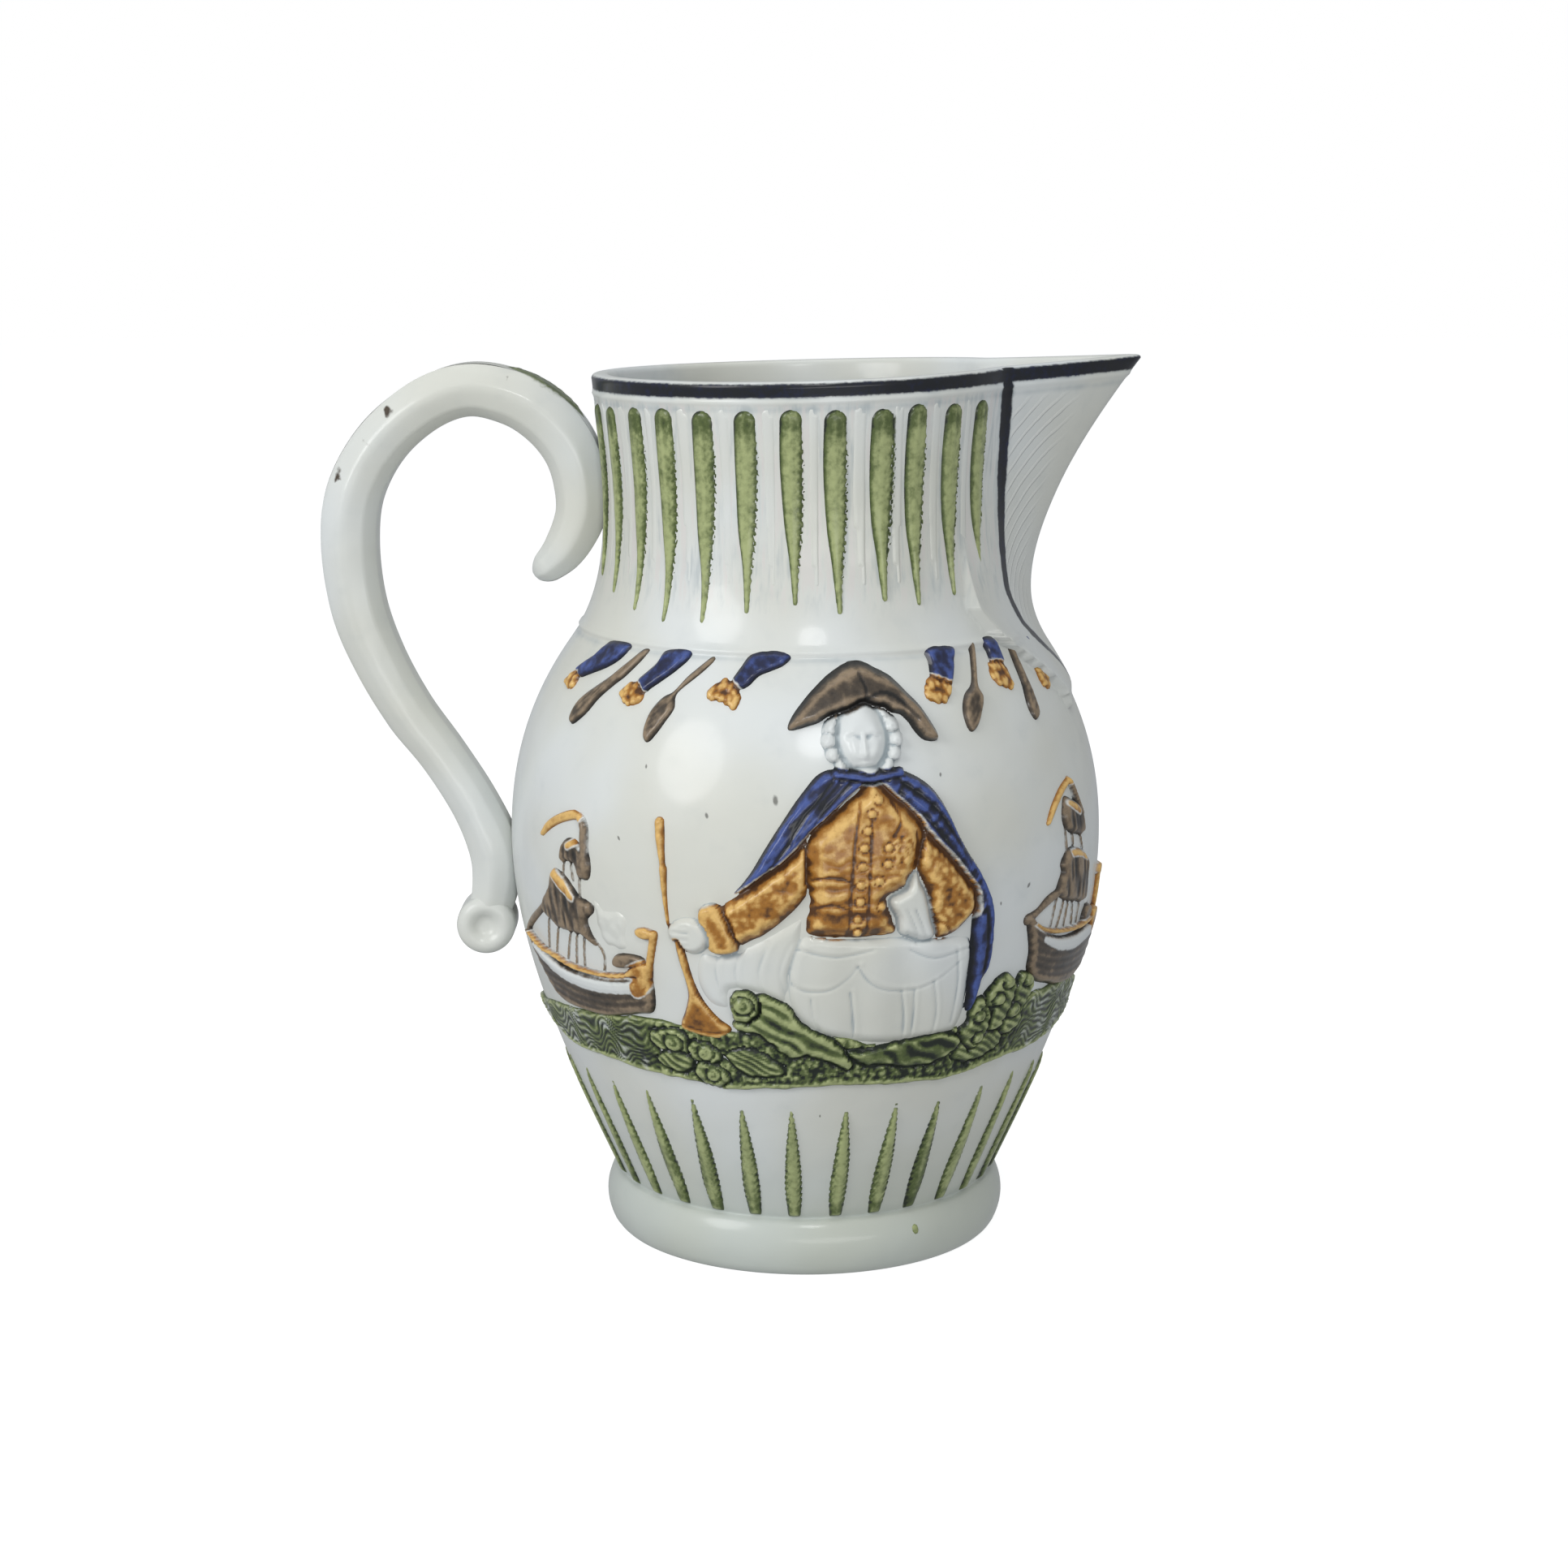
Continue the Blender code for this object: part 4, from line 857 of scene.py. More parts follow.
bank = {
    "box": (-77.0, 77.0, 35.2, 55.6),
    "cell": 0.32,
    "coarser": 1.3,
    "wave": 1.15,
    "shades": ((-30.0, 40.4, 2.4), (-8.6, 40.2, 2.0), (2.0, 39.2, 2.2), (29.6, 38.6, 1.6)),
    "top": (
        (-76, 41.9), (-69.7, 42.7), (-60, 44.2), (-50.8, 45.4), (-40.1, 46.4), (-30.1, 47.6), (-26.3, 47.6),
        (-22.3, 47.2), (-13.1, 46.8), (0.1, 47.2), (7.2, 46.0), (10.4, 44.6), (15.8, 44.8), (23.6, 45.5), (30, 46.5),
        (44.7, 49.2), (56, 49.0), (66, 47.4), (77, 43.2),
    ),
    "bottom": (
        (-76, 41.2), (-69.7, 41.6), (-60, 39.3), (-52.8, 37.6), (-42, 37.9), (-33.1, 37.3), (-24.4, 36.9),
        (-20.1, 36.8), (-16.7, 35.8), (-12.6, 35.9), (-7.5, 36.4), (-2.0, 36.7), (4.6, 37.1), (12.4, 36.9),
        (19.4, 36.8), (25.8, 36.3), (33.9, 37.3), (39.9, 38.1), (48.6, 38.1), (59.2, 38.9), (68.7, 40.7), (77, 41.4),
    ),
    # each modelled leaf: outline, lift, shade, vein spacing
    "leaves": (
        (((-28.2, 45.4), (-23.6, 46.5), (-20.9, 45.2), (-20.6, 42.6), (-23.0, 41.4), (-26.3, 41.6), (-28.4, 43.2)),
         1.15, 0.3, 1.5),
        (((-26.0, 42.0), (-22.4, 42.4), (-20.4, 40.6), (-22.4, 38.4), (-26.2, 38.5), (-28.2, 40.2)), 1.0, 0.15, 1.4),
        (((-20.6, 44.6), (-17.4, 44.6), (-15.2, 42.6), (-16.4, 40.6), (-19.4, 40.4), (-21.2, 42.2)), 1.2, 0.3, 1.3),
        (((-19.6, 40.8), (-15.8, 40.4), (-13.8, 38.4), (-15.6, 36.4), (-18.9, 36.8), (-20.6, 38.8)), 1.15, 0.35, 1.5),
        (((-14.4, 42.6), (-10.4, 44.2), (-6.4, 42.6), (-3.8, 40.0), (-6.8, 38.6), (-11.2, 39.2)), 0.85, 0.05, 1.2),
        (((26.8, 41.0), (29.6, 43.8), (34.4, 44.6), (38.6, 43.8), (37.4, 40.6), (33.0, 39.2), (29.0, 39.4)),
         0.9, 0.1, 1.2),
        # the great scroll at the officer's right, sweeping down under the breeches
        (((-12.4, 48.9), (-8.6, 53.6), (-5.7, 53.6), (-3.3, 52.2), (-1.4, 49.9), (0.3, 48.0), (3.2, 46.7),
          (5.4, 45.0), (7.4, 42.8), (8.2, 41.2), (6.8, 40.2), (3.6, 41.8), (0.4, 43.0), (-2.6, 42.4), (-4.4, 43.6),
          (-6.5, 45.6), (-8.6, 46.8), (-11.4, 47.2)), 1.55, 0.2, 2.3),
        (((-12.8, 51.4), (-12.0, 54.0), (-10.1, 54.6), (-8.2, 53.8), (-7.6, 52.0), (-8.4, 50.0), (-10.2, 48.9),
          (-12.0, 49.4)), 1.75, 0.45, 1.5),
        # the dark hollow leaf in the middle
        (((6.6, 43.6), (10.5, 43.9), (14.2, 44.7), (17.9, 45.4), (22.4, 45.8), (26.2, 45.4), (28.2, 43.6),
          (26.8, 41.7), (23.4, 40.2), (18.7, 39.9), (14.0, 40.7), (9.6, 41.0)), 1.3, -0.55, 2.6),
        # the tuft of leaves on the other side, with round curls
        (((27.5, 45.1), (28.8, 46.9), (29.0, 48.7), (30.2, 51.2), (32.6, 50.4), (34.2, 47.2), (33.4, 43.4),
          (30.6, 41.6)), 1.35, 0.1, 1.5),
        (((31.4, 50.6), (33.4, 53.4), (36.1, 54.5), (38.4, 52.4), (38.2, 48.6), (36.8, 44.8), (33.8, 44.6),
          (33.4, 48.2)), 1.5, 0.15, 1.7),
        (((38.2, 51.8), (40.2, 54.1), (42.9, 52.7), (43.2, 50.2), (41.6, 47.6), (41.6, 44.2), (38.2, 42.8),
          (36.8, 45.4), (38.2, 48.6)), 1.4, 0.05, 1.5),
    ),
    "curls": ((-10.4, 52.0, 1.7), (-23.9, 43.8, 1.8), (-17.9, 42.6, 1.5), (-17.0, 38.6, 1.4), (36.2, 52.9, 1.25),
              (41.2, 52.3, 1.2), (34.4, 50.2, 1.3), (38.9, 47.4, 1.5), (31.0, 47.6, 1.2), (31.6, 43.6, 1.2)),
}


def leafPatch(field, points, lift, shade, spacing, seed):
    # a modelled leaf: its edge painted dark as shade, and its crests between curling veins painted pale as highlights
    form = outline(field, points)
    window = form["window"]
    a, z = field["across"][window], field["up"][window]
    bend = softNoise(a, z, 3.4, seed)
    veins = 0.5 + 0.5 * np.cos((0.45 * a + 0.9 * z) * 2 * math.pi / spacing + 5.5 * bend)
    scallop = softNoise(a, z, 0.9, seed + 3) - 0.5
    form["signed"] = form["signed"] + 0.5 * scallop
    swell(field, form, lift, 1.0, 0.75)
    paint(field, form, "green")
    deep = ease(-form["signed"])
    carve(field, form, 0.34 * (veins - 0.5) * deep, shade - 0.95 * (1 - deep) + 0.85 * (veins - 0.5) * deep)


def leafCurl(field, across, up, size):
    # a small spiral boss, its ridge painted pale as a highlight and its rim darker as shade
    form = oval(field, across, up, size, size * 0.9)
    window, share = form["window"], form["share"]
    swell(field, form, field["height"][window].max() + 0.1, 0.9, 0.35)
    paint(field, form, "green")
    spiral = 0.5 + 0.5 * np.cos(share * 7.5 - np.arctan2(form["v"], form["u"]))
    carve(field, form, 0.3 * (spiral - 0.5), 0.25 + 0.8 * (spiral - 0.5) - 0.8 * ease((share - 0.75) / 0.25))


def makeBank(name, turn, plain):
    field = friezeField(bank, bank["box"], plain)
    a, z = field["across"], field["up"]
    top = np.interp(a, *zip(*bank["top"])) + 0.5 * (softNoise(a, z * 0, 2.3, 4) - 0.5)
    low = np.interp(a, *zip(*bank["bottom"])) + 0.4 * (softNoise(a, z * 0, 1.9, 9) - 0.5)
    whole = (slice(None), slice(None))
    ground = {"window": whole, "signed": np.maximum(z - top, low - z)}
    swell(field, ground, 0.55, 0.7)
    paint(field, ground, "green")
    # mossy stipple in the middle, running wavelets under the ships
    centre = ease((a + 31) / 5) * ease((45 - a) / 5)
    moss = 0.55 * (1 - pebbleNoise(a, z, 1.35, 2)) + 0.45 * (1 - pebbleNoise(a, z, 0.8, 12))
    drift = 1.0 * np.sin(a / 1.9 + 0.6 * np.sin(z)) + 0.6 * np.sin(a / 0.95 + 2) + 2.2 * softNoise(a, z, 3.0, 18)
    waves = 0.5 + 0.5 * np.sin((z + 0.9 * drift) * 2 * math.pi / bank["wave"])
    inner = ease(-ground["signed"] / 0.7)
    field["height"] += inner * (centre * (0.72 * moss - 0.2) + (1 - centre) * (0.2 * waves - 0.06))
    # the moss's bumps and the wavelets' crests are painted lighter as highlights and their hollows darker as shade
    field["stain"] += inner * (centre * (1.7 * moss - 0.75) + (1 - centre) * (0.9 * waves - 0.62))
    field["stain"] -= inner * centre * 0.45 * ease((softNoise(a, z, 4.2, 15) - 0.5) / 0.2)
    # the green is washed thin over the water, and thicker in its furrows
    thin = 0.16 + 0.22 * (1 - waves) + 0.3 * (softNoise(a, z, 3.0, 27) - 0.5)
    field["green"] = np.where(ground["signed"] < 0, np.minimum(field["green"], thin * (1 - centre) + 2 * centre),
                              field["green"])
    # a ridge runs along the lower edge, painted pale as a highlight
    score(field, [(p[0], p[1] + 0.55) for p in bank["bottom"]], 0.7, -0.3, 0.8)
    if not plain:
        for dark in bank["shades"]:
            tint(field, oval(field, *dark, 1.4), -0.5, 0.8)
    for k, leaf in enumerate(bank["leaves"] if not plain else bank["leaves"][6:]):
        leafPatch(field, *leaf, 40 + k)
    for curl in bank["curls"] if not plain else bank["curls"][4:]:
        leafCurl(field, *curl)
    makeRelief(name, finishField(field, 0.13), turn)


ships = {
    "cell": 0.28,
    "coarser": 1.3,
    "plank": 1.3,
    "port": 2.4,
    "left": {
        "box": (-70.0, -22.0, 44.6, 83.5),
        "hull": ((-62.0, 57.6), (-58.1, 55.7), (-54.1, 55.1), (-50.9, 54.2), (-46.2, 53.6), (-41.0, 53.5),
                 (-36.9, 53.9), (-33.1, 54.6), (-29.9, 55.1), (-27.6, 55.7), (-26.6, 55.6), (-26.4, 52.2),
                 (-27.2, 49.0), (-30.3, 48.1), (-34.7, 47.0), (-38.5, 46.2), (-43.6, 46.0), (-49.5, 46.2),
                 (-52.8, 47.6), (-55.4, 50.4), (-58.0, 53.6)),
        "stripe": ((-57.6, 55.2, 0.35), (-54.2, 54.0, 0.62), (-49.9, 52.7, 0.72), (-45.5, 52.0, 0.78),
                   (-40.4, 51.8, 0.85), (-35.9, 52.1, 0.85), (-31.7, 52.7, 0.85), (-28.6, 53.6, 0.7)),
        "rail": ((-60.6, 56.9), (-54.9, 55.3), (-49.3, 54.8), (-44.9, 54.1), (-40.9, 54.0), (-36.8, 54.1),
                 (-33.0, 54.6), (-29.9, 55.3), (-27.2, 56.1)),
        "lowerSail": ((-47.6, 70.4), (-44.9, 70.2), (-42.4, 68.5), (-40.7, 67.0), (-38.1, 66.2), (-37.7, 64.9),
                      (-39.2, 63.4), (-38.6, 61.0), (-37.6, 59.2), (-39.0, 59.5), (-40.6, 60.4), (-43.5, 60.5),
                      (-46.7, 60.5), (-48.9, 61.3), (-51.4, 62.5), (-51.0, 64.9), (-48.8, 67.3)),
        "upperSail": ((-44.8, 75.4), (-42.5, 76.5), (-40.3, 75.8), (-38.4, 74.5), (-37.9, 72.3), (-38.4, 70.5),
                      (-40.2, 70.5), (-41.4, 72.5), (-43.3, 72.8), (-45.2, 72.5)),
        "patches": (((-47.2, 70.2, 0.5), (-44.6, 68.7, 0.85), (-41.8, 66.6, 0.4)),
                    ((-42.6, 75.4, 0.5), (-40.6, 76.6, 0.7), (-39.6, 75.6, 0.4))),
        "mast": ((-40.8, 80.5, 0.5), (-39.6, 79.3, 0.65), (-39.2, 76.6, 0.7), (-38.6, 71.0, 0.35)),
        "pennant": ((-40.7, 80.3, 0.45), (-42.6, 80.5, 0.72), (-46.2, 79.3, 0.72), (-49.2, 77.7, 0.7),
                    (-51.2, 75.9, 0.35)),
        "bowsprit": ((-61.4, 56.8, 0.6), (-59.4, 58.4, 0.5), (-56.2, 60.4, 0.55), (-51.7, 63.3, 0.5),
                     (-49.2, 66.4, 0.4)),
        "ropes": (((-50.0, 62.4), (-52.2, 55.4)), ((-47.0, 61.6), (-49.6, 55.2)), ((-43.6, 61.0), (-46.2, 54.6)),
                  ((-42.0, 61.0), (-43.7, 54.4)), ((-40.2, 61.0), (-41.5, 54.2)),
                  ((-37.8, 60.0), (-36.0, 57.7), (-36.7, 54.3)), ((-44.3, 73.0), (-44.6, 70.4)),
                  ((-42.7, 73.1), (-42.0, 69.6)), ((-40.4, 71.2), (-40.4, 67.2))),
        "lantern": ((-25.3, 62.9, 0.55), (-25.9, 60.4, 0.5), (-26.6, 57.6, 0.5), (-26.9, 55.4, 0.5)),
        "knob": (-27.0, 62.8, 1.9, 1.0),
        "stern": ((-31.3, 55.4), (-30.6, 56.1), (-29.3, 56.9), (-27.4, 57.6), (-26.5, 56.9), (-26.8, 54.4),
                  (-27.9, 52.6), (-29.7, 51.9), (-29.9, 53.4), (-29.0, 54.8)),
        "cabin": ((-34.0, 57.4), (-32.5, 58.4), (-29.5, 58.7), (-27.6, 58.2), (-28.2, 57.0), (-31.2, 56.3),
                  (-33.8, 56.0)),
        "cloud": ((-38.0, 69.2), (-35.8, 66.4), (-31.9, 66.0), (-30.3, 63.6), (-31.2, 59.6), (-34.6, 58.9),
                  (-36.5, 60.7), (-37.4, 63.7)),
    },
    "right": {
        "box": (36.5, 75.0, 44.6, 86.5),
        "hull": ((39.4, 63.2), (42.1, 61.8), (45.0, 59.9), (50.1, 58.2), (55.6, 57.6), (60.5, 57.7), (67.9, 57.0),
                 (71.6, 55.2), (68.0, 52.6), (64.6, 49.6), (59.4, 48.4), (53.3, 48.8), (48.9, 50.0), (44.6, 51.4),
                 (41.4, 54.0), (41.0, 57.6)),
        "stripe": ((44.0, 59.0, 0.35), (47.4, 57.6, 0.7), (50.8, 56.7, 0.9), (56.1, 56.0, 0.95), (61.2, 56.2, 0.95),
                   (66.4, 56.2, 0.9)),
        "rail": ((39.6, 63.4), (42.7, 61.3), (46.1, 60.0), (50.6, 59.1), (56.1, 58.5), (62.7, 58.4), (67.6, 58.6)),
        "lowerSail": ((50.5, 73.3), (54.4, 72.6), (57.9, 70.5), (58.3, 67.8), (58.4, 63.1), (53.7, 63.8),
                      (49.3, 65.0), (47.0, 66.7), (48.4, 69.8), (48.0, 71.1), (48.8, 72.1)),
        "upperSail": ((50.2, 82.0), (52.6, 81.3), (55.4, 79.9), (56.4, 77.7), (56.4, 75.3), (54.1, 75.4),
                      (50.4, 76.7), (49.2, 78.9)),
        "patches": (((50.6, 81.2, 0.4), (52.6, 80.4, 0.7), (54.2, 79.2, 0.4)),
                    ((51.0, 72.6, 0.5), (54.0, 72.2, 0.6), (56.6, 70.8, 0.4))),
        "mast": ((52.7, 84.8, 0.4), (53.5, 83.3, 0.4), (54.3, 81.4, 0.45), (55.8, 78.6, 0.4)),
        "pennant": ((52.5, 84.6, 0.4), (50.0, 83.6, 0.5), (47.6, 82.0, 0.55), (45.9, 80.4, 0.5), (44.6, 78.8, 0.35)),
        "bowsprit": ((39.6, 63.2, 0.9), (42.0, 64.2, 0.5), (44.6, 65.6, 0.75), (48.2, 66.6, 0.6)),
        "ropes": (((47.4, 67.0), (46.1, 60.6)), ((49.9, 65.4), (48.2, 60.0)), ((51.4, 64.8), (50.6, 59.4)),
                  ((53.0, 64.2), (54.0, 59.0)), ((56.3, 63.6), (56.0, 58.8)), ((49.6, 77.0), (49.9, 73.0)),
                  ((51.9, 76.6), (52.2, 73.1)), ((55.0, 75.6), (56.4, 71.2))),
        "lantern": ((68.4, 58.4, 0.45), (69.4, 61.5, 0.5), (69.0, 65.0, 0.5)),
        "knob": (69.4, 66.0, 1.7, 1.1),
        "stern": ((64.4, 57.2), (64.8, 59.4), (68.2, 59.6), (69.4, 56.8), (66.2, 55.4)),
        "cabin": ((59.2, 58.6), (59.6, 60.8), (61.6, 61.4), (63.8, 60.4), (64.0, 58.8)),
        "cloud": ((58.6, 70.0), (61.0, 69.0), (63.0, 65.8), (62.6, 61.8), (60.0, 61.0), (58.8, 64.0)),
    },
}


def makeShip(name, plan, turn, plain):
    field = friezeField(ships, plan["box"], plain)
    a, z = field["across"], field["up"]
    if not plain:
        # smoke and slack canvas behind the masts stay white
        cloud = outline(field, plan["cloud"])
        window = cloud["window"]
        cloud["signed"] = cloud["signed"] + 0.9 * (softNoise(a[window], z[window], 1.7, 33) - 0.5)
        swell(field, cloud, 0.28, 1.6)
        carve(field, cloud, 0.22 * (0.5 - pebbleNoise(a[window], z[window], 2.2, 6)), 0.0)
    hull = outline(field, plan["hull"])
    swell(field, hull, 1.2, 1.0)
    paint(field, hull, "brown")
    window = hull["window"]
    below = (z - np.interp(a, *zip(*plan["rail"])))[window]
    planks = 0.5 + 0.5 * np.cos(below * 2 * math.pi / ships["plank"])
    blot = softNoise(a[window] * 0.5, z[window], 1.6, 19)
    # the plank grooves are painted darker, as shade, over the paint's own blots
    carve(field, hull, -0.1 * planks, 0.75 * blot - 0.3 * planks - 0.2)
    stripe = stroke(field, plan["stripe"], 18)
    paint(field, stripe, None)
    swell(field, stripe, 1.32, 0.5)
    ports = 0.5 + 0.5 * np.cos(stripe["along"] * stripe["length"] * 2 * math.pi / ships["port"])
    field["stain"][stripe["window"]] -= (stripe["signed"] < -0.1) * 0.35 * ports**3
    for key, pigment, shade, lift in (("cabin", "brown", 0.1, 0.9), ("stern", "ochre", 0.1, 1.3)):
        form = outline(field, plan[key])
        swell(field, form, lift, 0.7)
        paint(field, form, pigment)
        window = form["window"]
        blot = softNoise(a[window], z[window], 1.1, 7)
        carve(field, form, 0.0, shade + 1.1 * (blot - 0.5))
    for rope in () if plain else plan["ropes"]:
        form = stroke(field, [(*point, 0.12) for point in rope], 6)
        swell(field, form, 0.42, 0.34)
        paint(field, form, "brown", 0.22)
        tint(field, form, 0.1)
    for key in ("lowerSail", "upperSail"):
        sail = outline(field, plan[key])
        window = sail["window"]
        seams = softNoise(a[window] + 0.12 * z[window], z[window] * 0.16, 0.62, 8)
        blot = softNoise(a[window], z[window], 2.4, 28)
        sail["signed"] = sail["signed"] + 0.3 * (seams - 0.5) - 0.25
        swell(field, sail, 1.0, 1.3, 0.3)
        paint(field, sail, "brown", 0.3)
        # the raised folds of the sails are painted lighter and the sunk ones darker, as highlight and shade, over the
        # blots
        carve(field, sail, 0.26 * (seams - 0.5), 1.7 * (seams - 0.5) + 0.9 * blot - 0.25)
    for spine in plan["patches"]:
        patch = stroke(field, spine, 12)
        paint(field, patch, "ochre", 0.1)
        tint(field, patch, 0.35)
    mast = stroke(field, plan["mast"], 14)
    swell(field, mast, 1.0, 0.6)
    paint(field, mast, "brown", 0.2)
    rail = stroke(field, [(*p, 0.22) for p in plan["rail"]], 14)
    swell(field, rail, 1.32, 0.35)
    paint(field, rail, "ochre", 0.3)
    tint(field, rail, 0.05)
    if not plain:
        for key, lift, pigment, shade in (("pennant", 0.6, "ochre", -0.15), ("bowsprit", 0.6, "brown", 0.15),
                                          ("lantern", 0.8, "ochre", 0.1)):
            form = stroke(field, plan[key], 14)
            swell(field, form, lift, 0.5)
            paint(field, form, pigment, 0.4)
            tint(field, form, shade)
        knob = oval(field, *plan["knob"])
        swell(field, knob, 0.9, 0.7)
        paint(field, knob, "ochre", 0.15)
        tint(field, knob, 0.1)
    makeRelief(name, finishField(field, 0.12), turn)


